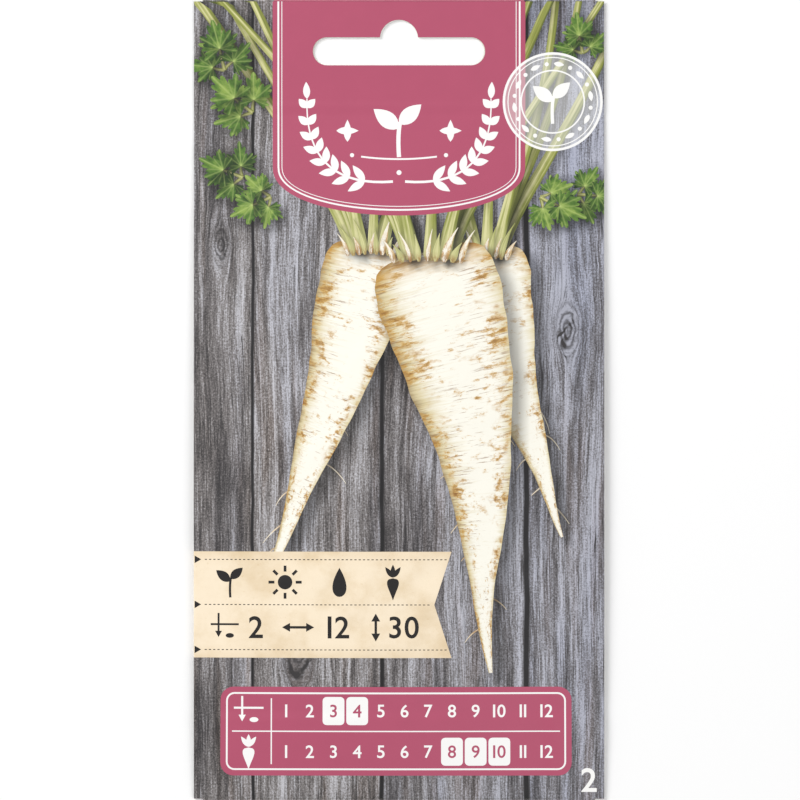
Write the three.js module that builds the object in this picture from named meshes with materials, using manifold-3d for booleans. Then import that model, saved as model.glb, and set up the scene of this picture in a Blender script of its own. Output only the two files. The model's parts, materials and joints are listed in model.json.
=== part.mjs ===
// A paper seed packet lying on its back: one printed blank, folded round the seeds and glued.
// Millimetres. +X is the reader's right, +Y runs to the top of the packet, +Z up through the front.
// The origin is on the surface under the packet, midway between its side creases and its ends.
import * as THREE from "three";
import { mergeVertices } from "three/addons/utils/BufferGeometryUtils.js";
import Module from "manifold-3d";

const wasm = await Module();
wasm.setup();

// The sheet
const WIDTH = 82; // side crease to side crease
const HEIGHT = 160; // bottom crease to top crease
const PAPER = 0.15; // coated paper
const GLUE_GAP = 0.06; // between two glued layers
const GLUE = 0.04; // dried adhesive, clear of both layers
const LAYER = PAPER + GLUE_GAP; // what one more glued layer adds to the stack
const GLUE_CLEAR = (GLUE_GAP - GLUE) / 2; // between the adhesive and each layer
const CREASE_CUT = 0.04; // gap left between two panels that share a crease

// Flaps folded from the front panel
const TOP_FLAP = 20; // height of the closing flap, which is also the glued header
const BOTTOM_FLAP = 15;
const FLAP_INSET = 1.8; // a flap is this much narrower than the packet on each side
const FLAP_TAPER = 2.4; // and this much more at its free edge
const SEAM_FLAP = 10.5; // width of the flap under the right edge of the back panel
const SEAM_SETBACK = 0.9; // from the right crease to the free edge of the back panel

// How the filled pouch swells
const CROWN = 3.0; // rise of the front panel over its side creases
const CREASE_LIFT = 0.85; // height of the side creases over the surface
const CREASE_OPEN = 0.5; // how far a side crease opens up at mid length
const FLAT_BACK = 27; // half width of the back panel that lies flat on the surface
const PROFILE_POWER = 1.35; // 1 is a parabola, and more flattens the panel beside its creases
const LENGTH_LEAN = 0.82; // below 1, the pouch is fullest under its mid length
const LENGTH_BLUNT = 0.9; // below 1, it fills sooner from its ends
const LIFT_POWER = 1.6; // above 1, the back panel leaves the surface later on its way to a crease
const FLAP_BEND = { near: 0.5, far: 3 }; // the back panel steps up over a flap this far from the flap's edge
const SEAM_BEND = { before: 2.5, after: 0.5 }; // the front steps up over the seam flap round the flap's edge

// The hanging slot: a euro slot through all the layers of the header
const SLOT = { length: 34.1, height: 5.6, bumpRadius: 3.8, bumpDrop: 0.3, bottomFromTop: 13.1 };

const END_FOLD_RADIUS = (LAYER + PAPER + GLUE_GAP + PAPER) / 2; // flap, back and front, with their glue
const HALF_WIDTH = WIDTH / 2;
const HALF_HEIGHT = HEIGHT / 2 - END_FOLD_RADIUS - CREASE_CUT; // of the front panel, without the end folds
const HEADER_Y = HALF_HEIGHT - TOP_FLAP;
const BOTTOM_FLAP_Y = BOTTOM_FLAP - HALF_HEIGHT;

// Where the panels end, and where the seam's adhesive does
const BACK_PANEL_END = HALF_HEIGHT - 0.9;
const SEAM_FLAP_END = HALF_HEIGHT - 3;
const SEAM_GLUE_END = HALF_HEIGHT - 4;
const BACK_FREE_EDGE = HALF_WIDTH - SEAM_SETBACK;
const SEAM_FLAP_EDGE = HALF_WIDTH - SEAM_FLAP;
const SEAM_GLUE_EDGES = [SEAM_FLAP_EDGE + 1.5, HALF_WIDTH - 2.2];

// Margins of the adhesive
const GLUE_FROM_EDGE = 1.5; // from a flap's free edge
const GLUE_FROM_END = 2; // from the crease that a flap folds on
const GLUE_FROM_SIDE = 0.8; // from a flap's tapered side
const GLUE_FROM_SEAM = 3.5; // from the seam flap, inside the header
const SLOT_MARGIN = 1.2; // from the slot

// Mesh divisions
const ARC_STEPS = 4; // round a side crease
const END_ARC_STEPS = 6; // round an end fold
const FRONT_STEPS = 18;
const LONG_STEPS = 26;
const FLAP_STEPS = { along: 5, across: 6 };
const LINE_SPACING = 0.7; // an even line this near to a needed one is left out
const OUTER_LINE = 39; // the last even line before a side crease
const MIDDLE_LINES = [-14, 0, 14];

const mix = (a, b, t) => a + (b - a) * t;
const smoothstep = (a, b, v) => THREE.MathUtils.smoothstep(v, a, b);

/** Numbers from a to b in equal steps. */
function steps(a, b, count) {
  return Array.from({ length: count + 1 }, (_, i) => mix(a, b, i / count));
}

/** How full the pouch is along its length: 0 at the bottom crease and the header, 1 at its fullest. */
function fullness(y) {
  const along = THREE.MathUtils.clamp((y + HALF_HEIGHT) / (HEADER_Y + HALF_HEIGHT), 0, 1);
  return Math.sin(Math.PI * along ** LENGTH_LEAN) ** LENGTH_BLUNT;
}

/** Height of the back panel's printed side. It steps up over the two flaps glued under it. */
function backHeight(x, y) {
  const overTop = smoothstep(HEADER_Y - FLAP_BEND.far, HEADER_Y - FLAP_BEND.near, y);
  const overBottom = 1 - smoothstep(BOTTOM_FLAP_Y + FLAP_BEND.near, BOTTOM_FLAP_Y + FLAP_BEND.far, y);
  const outside = Math.max(0, Math.abs(x) - FLAT_BACK) / (HALF_WIDTH - FLAT_BACK);
  return LAYER * Math.max(overTop, overBottom) + CREASE_LIFT * fullness(y) * outside ** LIFT_POWER;
}

/** Height of the outer side of the paper beside a side crease: -1 is the left crease, 1 the right. */
function creaseTop(side, y) {
  const under = backHeight(side * HALF_WIDTH, y) + (side > 0 ? LAYER : 0);
  return under + 2 * PAPER + GLUE_GAP + CREASE_OPEN * fullness(y);
}

/** Height of the front panel's printed side. It steps up over the seam flap. */
function frontHeight(x, y) {
  const overSeamFlap = smoothstep(SEAM_FLAP_EDGE - SEAM_BEND.before, SEAM_FLAP_EDGE + SEAM_BEND.after, x);
  const base = mix(creaseTop(-1, y), creaseTop(1, y), overSeamFlap);
  const across = Math.min(1, Math.abs(x) / HALF_WIDTH);
  return base + CROWN * fullness(y) * (1 - across ** 2) ** PROFILE_POWER;
}

/** Sorted numbers, without the ones that almost repeat a number in `kept`. */
function stations(even, kept) {
  const spaced = even.filter((v) => kept.every((k) => Math.abs(k - v) > LINE_SPACING));
  return [...spaced, ...kept].sort((a, b) => a - b);
}

// Every sheet has its points on these lines, so glued layers stay parallel
const ROWS = stations(
  steps(-HALF_HEIGHT, HALF_HEIGHT, LONG_STEPS).slice(1, -1),
  [
    ...[FLAP_BEND.near, FLAP_BEND.far].flatMap((gap) => [BOTTOM_FLAP_Y + gap, HEADER_Y - gap]),
    ...[BACK_PANEL_END, SEAM_FLAP_END, SEAM_GLUE_END, HALF_HEIGHT].flatMap((y) => [-y, y]),
  ],
);
const COLUMNS = stations(
  [...steps(-OUTER_LINE, -FLAT_BACK, 5), ...MIDDLE_LINES, ...steps(FLAT_BACK, OUTER_LINE, 5)],
  [SEAM_FLAP_EDGE, ...SEAM_GLUE_EDGES, BACK_FREE_EDGE],
);

/** The lines from one edge to another: both edges, and the shared lines between. */
function linesBetween(lines, low, high) {
  return [low, ...lines.filter((v) => v > low + 1e-6 && v < high - 1e-6), high];
}

/** A closed sheet between two grids of points, outer[row][column] and inner[row][column]. */
function sheetBetween(outer, inner) {
  const rows = outer.length;
  const columns = outer[0].length;
  const points = [...outer.flat(), ...inner.flat()];
  const at = (side, row, column) => side * rows * columns + row * columns + column;
  const index = [];
  const quad = (a, b, c, d) => index.push(a, b, c, a, c, d);
  for (let r = 0; r + 1 < rows; r++) {
    for (let c = 0; c + 1 < columns; c++) {
      quad(at(0, r, c), at(0, r, c + 1), at(0, r + 1, c + 1), at(0, r + 1, c));
      quad(at(1, r, c), at(1, r + 1, c), at(1, r + 1, c + 1), at(1, r, c + 1));
    }
    quad(at(0, r, 0), at(0, r + 1, 0), at(1, r + 1, 0), at(1, r, 0));
    quad(at(0, r, columns - 1), at(1, r, columns - 1), at(1, r + 1, columns - 1), at(0, r + 1, columns - 1));
  }
  for (let c = 0; c + 1 < columns; c++) {
    quad(at(0, 0, c), at(1, 0, c), at(1, 0, c + 1), at(0, 0, c + 1));
    quad(at(0, rows - 1, c), at(0, rows - 1, c + 1), at(1, rows - 1, c + 1), at(1, rows - 1, c));
  }
  const geometry = new THREE.BufferGeometry();
  geometry.setAttribute("position", new THREE.Float32BufferAttribute(points.flat(), 3));
  geometry.setIndex(index);
  return facingOut(geometry);
}

/** Turns a closed mesh's faces round if they point inwards. */
function facingOut(geometry) {
  const place = geometry.getAttribute("position");
  const index = geometry.getIndex().array;
  const corner = (i) => new THREE.Vector3().fromBufferAttribute(place, index[i]);
  let volume = 0;
  for (let i = 0; i < index.length; i += 3) {
    volume += corner(i).dot(corner(i + 1).cross(corner(i + 2)));
  }
  if (volume < 0) {
    for (let i = 0; i < index.length; i += 3) {
      [index[i + 1], index[i + 2]] = [index[i + 2], index[i + 1]];
    }
  }
  return geometry;
}

/** The manifold-3d solid of a closed geometry. */
function solidOf(geometry) {
  const bare = new THREE.BufferGeometry();
  bare.setAttribute("position", geometry.getAttribute("position").clone());
  if (geometry.index) bare.setIndex(geometry.index.clone());
  const merged = mergeVertices(bare, 1e-4);
  const vertProperties = new Float32Array(merged.attributes.position.array);
  const triVerts = new Uint32Array(merged.index.array);
  return new wasm.Manifold(new wasm.Mesh({ numProp: 3, vertProperties, triVerts }));
}

/** The geometry of a manifold-3d solid. */
function geometryOf(solid) {
  const { vertProperties, triVerts } = solid.getMesh();
  const geometry = new THREE.BufferGeometry();
  geometry.setAttribute("position", new THREE.BufferAttribute(vertProperties, 3));
  geometry.setIndex(new THREE.BufferAttribute(triVerts, 1));
  return geometry;
}

/** The hanging slot's outline, grown by a margin on every side. */
function slotShape(margin = 0) {
  const end = SLOT.height / 2 + margin;
  const reach = SLOT.length / 2 - SLOT.height / 2;
  const centreY = HEIGHT / 2 - SLOT.bottomFromTop + SLOT.height / 2;
  const bump = SLOT.bumpRadius + margin;
  const bumpY = centreY + SLOT.height / 2 - SLOT.bumpDrop;
  const meet = Math.asin((centreY + end - bumpY) / bump);
  const shape = new THREE.Shape();
  shape.absarc(-reach, centreY, end, Math.PI / 2, (3 * Math.PI) / 2, false);
  shape.absarc(reach, centreY, end, -Math.PI / 2, Math.PI / 2, false);
  shape.absarc(0, bumpY, bump, meet, Math.PI - meet, false);
  shape.closePath();
  return shape;
}

/** Punches the hanging slot through a geometry. */
function punched(geometry, margin = 0) {
  const depth = 4;
  const punch = new THREE.ExtrudeGeometry(slotShape(margin), { depth, bevelEnabled: false, curveSegments: 10 });
  punch.translate(0, 0, -depth / 2);
  return geometryOf(solidOf(geometry).subtract(solidOf(punch)));
}

/** Points round one side crease, from the underside to the top or back: [outer, inner] for each. */
function creasePoints(side, y) {
  const top = creaseTop(side, y);
  const under = backHeight(side * HALF_WIDTH, y) + (side > 0 ? LAYER : 0);
  const radius = (top - under) / 2;
  const centre = { x: side * (HALF_WIDTH - radius), z: (top + under) / 2 };
  return steps(-Math.PI / 2, Math.PI / 2, ARC_STEPS).map((angle) =>
    [radius, radius - PAPER].map((r) => [centre.x + side * r * Math.cos(angle), y, centre.z + r * Math.sin(angle)]),
  );
}

/** Front panel: the printed face with the half-round paper of both side creases. */
function frontPanel() {
  const rows = ROWS.map((y) => {
    const right = creasePoints(1, y);
    const left = creasePoints(-1, y).reverse();
    const from = right.at(-1)[0][0];
    const to = left[0][0][0];
    const across = steps(from, to, FRONT_STEPS).slice(1, -1);
    const face = across.map((x) => [0, PAPER].map((depth) => [x, y, frontHeight(x, y) - depth]));
    return [...right, ...face, ...left];
  });
  return punched(sheetBetween(rows.map((row) => row.map((p) => p[0])), rows.map((row) => row.map((p) => p[1]))));
}

/**
 * A sheet that follows the back panel, raised by a height.
 * Its edges are functions of y, and all of them must cross the same shared lines.
 */
function alongBack(lowX, highX, endY, raised, thickness) {
  const crossed = linesBetween(COLUMNS, lowX(0), highX(0)).slice(1, -1);
  const rows = linesBetween(ROWS, -endY, endY);
  const grid = (lift) =>
    rows.map((y) => [lowX(y), ...crossed, highX(y)].map((x) => [x, y, backHeight(x, y) + lift]));
  return sheetBetween(grid(raised), grid(raised + thickness));
}

/** Where the half-round paper of a side crease ends, on the underside. */
function creaseEnd(side, y) {
  return creasePoints(side, y)[0][0][0] - side * CREASE_CUT;
}

/** Back panel: from the left crease to its free edge over the seam flap. */
function backPanel() {
  return punched(alongBack((y) => creaseEnd(-1, y), () => BACK_FREE_EDGE, BACK_PANEL_END, 0, PAPER));
}

/** Seam flap: folded in from the right crease, on the inside of the back panel. */
function seamFlap() {
  return alongBack(() => SEAM_FLAP_EDGE, (y) => creaseEnd(1, y), SEAM_FLAP_END, LAYER, PAPER);
}

/** The strip of adhesive between the back panel and the seam flap. */
function seamGlue() {
  const [low, high] = SEAM_GLUE_EDGES;
  return alongBack(() => low, () => high, SEAM_GLUE_END, PAPER + GLUE_CLEAR, GLUE);
}

/** A flap folded from one end of the front panel and under the back panel: -1 is the bottom, 1 the top. */
function endFlap(end, height) {
  const radius = END_FOLD_RADIUS;
  const foldX = HALF_WIDTH - FLAP_INSET;
  const foldY = HALF_HEIGHT + CREASE_CUT;
  const section = steps(Math.PI / 2, -Math.PI / 2, END_ARC_STEPS).map((angle) => ({
    halfWidth: foldX,
    points: [radius, radius - PAPER].map((r) => [foldY + r * Math.cos(angle), radius + r * Math.sin(angle)]),
  }));
  for (const run of steps(0, height, FLAP_STEPS.along).slice(1)) {
    section.push({
      halfWidth: foldX - (FLAP_TAPER * run) / height,
      points: [0, PAPER].map((z) => [foldY - run, z]),
    });
  }
  const line = (halfWidth, [y, z]) => steps(-halfWidth, halfWidth, FLAP_STEPS.across).map((x) => [x, end * y, z]);
  const grid = (side) => section.map(({ halfWidth, points }) => line(halfWidth, points[side]));
  return sheetBetween(grid(0), grid(1));
}

/** A flat patch of adhesive from z up. */
function gluePatch(lowX, highX, lowY, highY, z) {
  const patch = new THREE.BoxGeometry(highX - lowX, highY - lowY, GLUE);
  return patch.translate((lowX + highX) / 2, (lowY + highY) / 2, z + GLUE / 2);
}

/** The seeds lie inside as one low mound. Its shape is that of the loose fill. */
function seedBed() {
  const bed = { x: 29, y: 43, z: 1.15, centreY: -24, clearance: 0.3 };
  const mound = new THREE.SphereGeometry(1, 28, 14);
  mound.rotateX(Math.PI / 2);
  mound.scale(bed.x, bed.y, bed.z);
  mound.translate(0, bed.centreY, PAPER + bed.clearance + bed.z);
  return mound;
}

const flapGlueZ = PAPER + GLUE_CLEAR;
const headerGlueZ = LAYER + PAPER + GLUE_CLEAR;
const flapGlueX = HALF_WIDTH - FLAP_INSET - FLAP_TAPER - GLUE_FROM_SIDE;
const endGlueY = HALF_HEIGHT - GLUE_FROM_END;
const headerGlueY = HEADER_Y + GLUE_FROM_EDGE;

const paper = { color: 0xf4f1ea, roughness: 0.55, metalness: 0 };
const printed = { color: 0x8d8a88, roughness: 0.45, metalness: 0 };
const adhesive = { color: 0xeadfc4, roughness: 0.3, metalness: 0 };
const seed = { color: 0x77613f, roughness: 0.8, metalness: 0 };

const pieces = {
  front_panel: [frontPanel(), printed],
  back_panel: [backPanel(), paper],
  side_seam_flap: [seamFlap(), paper],
  bottom_flap: [endFlap(-1, BOTTOM_FLAP), paper],
  top_flap: [punched(endFlap(1, TOP_FLAP)), paper],
  side_seam_glue: [seamGlue(), adhesive],
  bottom_flap_glue: [
    gluePatch(-flapGlueX, flapGlueX, -endGlueY, BOTTOM_FLAP_Y - GLUE_FROM_EDGE, flapGlueZ),
    adhesive,
  ],
  top_flap_glue: [
    punched(gluePatch(-flapGlueX, flapGlueX, headerGlueY, endGlueY, flapGlueZ), SLOT_MARGIN),
    adhesive,
  ],
  header_glue: [
    punched(
      gluePatch(GLUE_FROM_END - HALF_WIDTH, SEAM_FLAP_EDGE - GLUE_FROM_SEAM, headerGlueY, endGlueY, headerGlueZ),
      SLOT_MARGIN,
    ),
    adhesive,
  ],
  seed_bed: [seedBed(), seed],
};

const packet = new THREE.Group();
for (const [name, [geometry, finish]] of Object.entries(pieces)) {
  const mesh = new THREE.Mesh(geometry, new THREE.MeshStandardMaterial(finish));
  mesh.name = name;
  packet.add(mesh);
}

export default packet;
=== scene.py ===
"""A filled paper seed packet lying on its back, printed, folded and glued as a real one is made.

The artwork is laid out flat in millimetres, as areas of ink with crisp outlines. Each panel of the blank
is cut along those outlines, given the paper's thickness, and then folded round the pouch that the CAD
model holds. Flat places count from the middle of the panel: x to the reader's right, y to the top.
"""

from __future__ import annotations

import json
import logging
import math
from collections.abc import Callable, Sequence
from dataclasses import dataclass, field
from enum import Enum
from typing import Any

import bpy
import numpy as np
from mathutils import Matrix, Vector
from mathutils.geometry import delaunay_2d_cdt

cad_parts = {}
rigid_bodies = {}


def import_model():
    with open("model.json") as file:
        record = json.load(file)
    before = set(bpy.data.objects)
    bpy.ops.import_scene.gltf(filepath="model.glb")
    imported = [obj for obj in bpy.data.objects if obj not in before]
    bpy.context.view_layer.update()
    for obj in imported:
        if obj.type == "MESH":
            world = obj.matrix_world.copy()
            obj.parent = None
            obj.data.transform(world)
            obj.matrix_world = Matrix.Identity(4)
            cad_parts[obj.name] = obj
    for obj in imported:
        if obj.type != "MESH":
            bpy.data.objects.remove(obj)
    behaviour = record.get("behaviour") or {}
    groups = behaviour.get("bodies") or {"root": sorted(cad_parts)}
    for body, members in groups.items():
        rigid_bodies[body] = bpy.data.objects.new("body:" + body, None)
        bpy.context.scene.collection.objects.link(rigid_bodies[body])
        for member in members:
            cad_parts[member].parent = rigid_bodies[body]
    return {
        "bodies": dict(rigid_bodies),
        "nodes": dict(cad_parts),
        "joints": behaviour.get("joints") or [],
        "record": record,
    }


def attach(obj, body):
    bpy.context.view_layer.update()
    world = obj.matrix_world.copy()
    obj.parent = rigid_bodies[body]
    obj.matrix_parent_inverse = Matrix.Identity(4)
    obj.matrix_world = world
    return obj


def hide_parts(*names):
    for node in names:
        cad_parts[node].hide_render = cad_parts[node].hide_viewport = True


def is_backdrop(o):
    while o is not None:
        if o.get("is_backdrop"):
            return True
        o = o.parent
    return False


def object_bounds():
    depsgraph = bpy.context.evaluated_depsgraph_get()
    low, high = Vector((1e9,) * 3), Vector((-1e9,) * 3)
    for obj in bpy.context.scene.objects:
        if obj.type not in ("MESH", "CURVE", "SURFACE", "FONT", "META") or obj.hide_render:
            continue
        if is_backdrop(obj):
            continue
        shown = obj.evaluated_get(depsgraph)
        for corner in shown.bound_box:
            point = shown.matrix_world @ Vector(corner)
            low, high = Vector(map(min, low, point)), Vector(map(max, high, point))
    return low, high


log = logging.getLogger("seed_packet")

Points = np.ndarray
Colour = tuple[float, float, float]
Place = tuple[float, float]
Settings = dict[Any, Any] | None
MM = 0.001
LUMP_HEIGHT = 0.055  # how far the seeds, the buckles and the pull under the header shape the paper, in mm
BUCKLE_HEIGHT = 0.17
PULL_HEIGHT = 0.13
ROOT_BODY = "root"
CHART = "chart"  # corner attribute: across, along and tone of the printed thing, for its grain
LIGHT = "light"  # corner attribute: drawn shadow, and the veil of white over it


def srgb(red: int, green: int, blue: int) -> Colour:
    """Converts a display colour, 0 to 255, to the linear colour that a shader takes."""

    def linear(channel: int) -> float:
        """Converts one channel."""
        c = channel / 255
        return c / 12.92 if c <= 0.04045 else ((c + 0.055) / 1.055) ** 2.4

    return linear(red), linear(green), linear(blue)


def smoothstep(low: float, high: float, value: Any) -> Any:
    """Rises smoothly from 0 at low to 1 at high.

    Args:
        low: Where the rise starts.
        high: Where it ends, which may be below low for a fall.
        value: A number or an array.

    Returns:
        Numbers between 0 and 1.
    """
    t = np.clip((value - low) / (high - low), 0.0, 1.0)
    return t * t * (3 - 2 * t)


# --------------------------------------------------------------------------------------------------
# Shader writing


class Value:
    """A shader socket that can be used in arithmetic. Each operator adds its Math node."""

    def __init__(self, paint: Paint, socket: bpy.types.NodeSocket) -> None:
        """Wraps an output socket of one of the paint's nodes."""
        self.paint = paint
        self.socket = socket

    def __add__(self, other: Any) -> Value:
        """Adds."""
        return self.paint.math("ADD", self, other)

    def __sub__(self, other: Any) -> Value:
        """Subtracts."""
        return self.paint.math("SUBTRACT", self, other)

    def __mul__(self, other: Any) -> Value:
        """Multiplies."""
        return self.paint.math("MULTIPLY", self, other)

    def __truediv__(self, other: Any) -> Value:
        """Divides."""
        return self.paint.math("DIVIDE", self, other)

    def __pow__(self, other: Any) -> Value:
        """Raises to a power."""
        return self.paint.math("POWER", self, other)

    def __radd__(self, other: Any) -> Value:
        """Adds, with the number first."""
        return self.paint.math("ADD", other, self)

    def __rsub__(self, other: Any) -> Value:
        """Subtracts from a number."""
        return self.paint.math("SUBTRACT", other, self)

    def __rmul__(self, other: Any) -> Value:
        """Multiplies, with the number first."""
        return self.paint.math("MULTIPLY", other, self)

    def __abs__(self) -> Value:
        """Drops the sign."""
        return self.paint.math("ABSOLUTE", self)

    def rise(self, low: float, high: float) -> Value:
        """Returns 0 below low, 1 above high and a smooth step between."""
        settings = {"interpolation_type": "SMOOTHSTEP"}
        inputs = {"Value": self, "From Min": low, "From Max": high}
        return self.paint.output("ShaderNodeMapRange", settings, inputs)

    def above(self, limit: float) -> Value:
        """Returns 1 where the value is over the limit, and 0 elsewhere."""
        return self.paint.math("GREATER_THAN", self, limit)

    def fraction(self) -> Value:
        """Returns what is left after the decimal point."""
        return self.paint.math("FRACT", self)

    def at_least(self, other: Any) -> Value:
        """Returns the larger of the two."""
        return self.paint.math("MAXIMUM", self, other)


class Paint:
    """A material that is written node by node."""

    def __init__(self, name: str) -> None:
        """Starts a material that holds only its Principled shader and its output."""
        self.material = bpy.data.materials.new(name)
        self.material.use_nodes = True
        self.tree = self.material.node_tree
        self.shader = self.tree.nodes["Principled BSDF"]

    def node(self, kind: str, settings: Settings = None, inputs: Settings = None) -> Any:
        """Adds a node.

        Args:
            kind: The node's type.
            settings: What is set on the node first, such as a Math node's operation; "stops" fills a ramp.
            inputs: A value or a link for each input, by name or number.

        Returns:
            The new node.
        """
        made = self.tree.nodes.new(kind)
        for key, value in (settings or {}).items():
            if key == "stops":
                self.fill_ramp(made.color_ramp, value)
            else:
                setattr(made, key, value)
        for key, value in (inputs or {}).items():
            self.feed(made.inputs[key], value)
        return made

    @staticmethod
    def fill_ramp(ramp: bpy.types.ColorRamp, stops: Sequence[tuple[float, Colour]]) -> None:
        """Gives a ramp its stops, as pairs of a place and a colour."""
        while len(ramp.elements) < len(stops):
            ramp.elements.new(1.0)
        for element, (place, colour) in zip(ramp.elements, stops):
            element.position = place
            element.color = (*colour, 1.0)

    def feed(self, socket: bpy.types.NodeSocket, value: Any) -> None:
        """Links a value to a socket, or sets a number, colour or vector on it."""
        if isinstance(value, Value):
            self.tree.links.new(value.socket, socket)
        elif isinstance(value, tuple) and socket.type == "RGBA":
            socket.default_value = (*value, 1.0)
        else:
            socket.default_value = value

    def output(
        self, kind: str, settings: Settings = None, inputs: Settings = None, name: str | int = 0
    ) -> Value:
        """Adds a node as node() does, and returns one of its outputs."""
        return Value(self, self.node(kind, settings, inputs).outputs[name])

    def math(self, operation: str, first: Any, second: Any = 0.0) -> Value:
        """Adds a Math node."""
        return self.output("ShaderNodeMath", {"operation": operation}, {0: first, 1: second})

    def mix(self, factor: Any, first: Any, second: Any, blend: str = "MIX") -> Value:
        """Mixes two colours."""
        settings = {"data_type": "RGBA", "blend_type": blend}
        return self.output("ShaderNodeMix", settings, {0: factor, 6: first, 7: second}, 2)

    def ramp(self, factor: Value, stops: Sequence[tuple[float, Colour]]) -> Value:
        """Turns a number into a colour between stops."""
        return self.output("ShaderNodeValToRGB", {"stops": stops}, {0: factor})

    def scale(self, colour: Any, factor: Any) -> Value:
        """Makes a colour lighter or darker by a factor."""
        settings = {"operation": "SCALE"}
        return self.output("ShaderNodeVectorMath", settings, {0: colour, "Scale": factor})

    def vector(self, x: Any, y: Any, z: Any = 0.0) -> Value:
        """Joins three numbers into a vector."""
        return self.output("ShaderNodeCombineXYZ", None, {0: x, 1: y, 2: z})

    def parts(self, vector: Value) -> tuple[Value, Value, Value]:
        """Splits a vector into its three numbers."""
        split = self.node("ShaderNodeSeparateXYZ", None, {0: vector})
        return Value(self, split.outputs[0]), Value(self, split.outputs[1]), Value(self, split.outputs[2])

    def noise(self, vector: Value, scale: float, detail: float = 3.0, roughness: float = 0.5) -> Value:
        """Adds smooth noise, mostly between 0.3 and 0.7."""
        inputs = {"Vector": vector, "Scale": scale, "Detail": detail, "Roughness": roughness}
        return self.output("ShaderNodeTexNoise", None, inputs)

    def grain(self, x: Any, y: Any, z: Any, detail: float, roughness: float = 0.5) -> Value:
        """Adds noise that is as fine in each direction as its three numbers are scaled."""
        return self.noise(self.vector(x, y, z), 1.0, detail, roughness)

    def place(self) -> tuple[Value, Value, Value]:
        """Returns where a point is on the object, in millimetres."""
        return self.parts(self.scale(self.output("ShaderNodeTexCoord", name="Object"), 1 / MM))

    def attribute(self, name: str) -> tuple[Value, Value, Value]:
        """Returns the three numbers that a corner attribute holds."""
        return self.parts(self.output("ShaderNodeAttribute", {"attribute_name": name}, name="Vector"))

    def finish(self, colour: Any, roughness: Any, height: Value | None = None, depth: float = 0.0) -> None:
        """Wires the shader.

        Args:
            colour: The base colour.
            roughness: A number or a value.
            height: What the bump follows, if there is one.
            depth: How deep a full step of height is, in metres.
        """
        self.feed(self.shader.inputs["Base Color"], colour)
        self.feed(self.shader.inputs["Roughness"], roughness)
        if height is not None:
            inputs = {"Height": height, "Distance": depth, "Strength": 1.0}
            self.feed(self.shader.inputs["Normal"], self.output("ShaderNodeBump", None, inputs))


# --------------------------------------------------------------------------------------------------
# Finishes


@dataclass(frozen=True)
class CoatedPaper:
    """The satin surface that every printed colour shares."""

    roughness: float = 0.43
    fibre: float = 2.2  # per millimetre
    fibre_depth: float = 0.012 * MM
    fibre_gloss: float = 0.16  # how much the fibres change the roughness
    veil: Colour = srgb(250, 250, 248)
    press: float = 0.33  # how many lumps of the seeds inside there are per millimetre
    press_depth: float = 0.10 * MM
    seed_middle: Place = (0.0, -24.0)
    seed_reach: Place = (33.0, 52.0)

    def apply(self, paint: Paint, colour: Any) -> None:
        """Finishes a paint with this surface under its printed colour.

        Args:
            paint: The material.
            colour: The ink's own colour.
        """
        x, y, z = paint.place()
        spot = paint.vector(x, y, z)
        shadow, veil, _ = paint.attribute(LIGHT)
        lit = paint.scale(colour, 1.0 - shadow)
        veiled = paint.mix(veil, lit, self.veil)
        fibre = paint.noise(spot, self.fibre, 4.0, 0.6)
        lumps = paint.noise(spot, self.press, 1.0, 0.4)
        inside = ((x - self.seed_middle[0]) / self.seed_reach[0]) ** 2.0
        inside = 1.0 - (inside + ((y - self.seed_middle[1]) / self.seed_reach[1]) ** 2.0).rise(0.5, 1.0)
        height = fibre + lumps * inside * (self.press_depth / self.fibre_depth)
        roughness = fibre * self.fibre_gloss + (self.roughness - self.fibre_gloss / 2)
        paint.finish(veiled, roughness, height, self.fibre_depth)


COATED = CoatedPaper()


@dataclass(frozen=True)
class Knot:
    """A knot in a board, in millimetres."""

    x: float
    y: float
    radius: float


@dataclass(frozen=True)
class GrainLayer:
    """One layer of noise along the grain: its weight, how fine it is each way, and its finer detail."""

    weight: float
    across: float  # per millimetre
    along: float
    detail: float
    roughness: float


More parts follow.
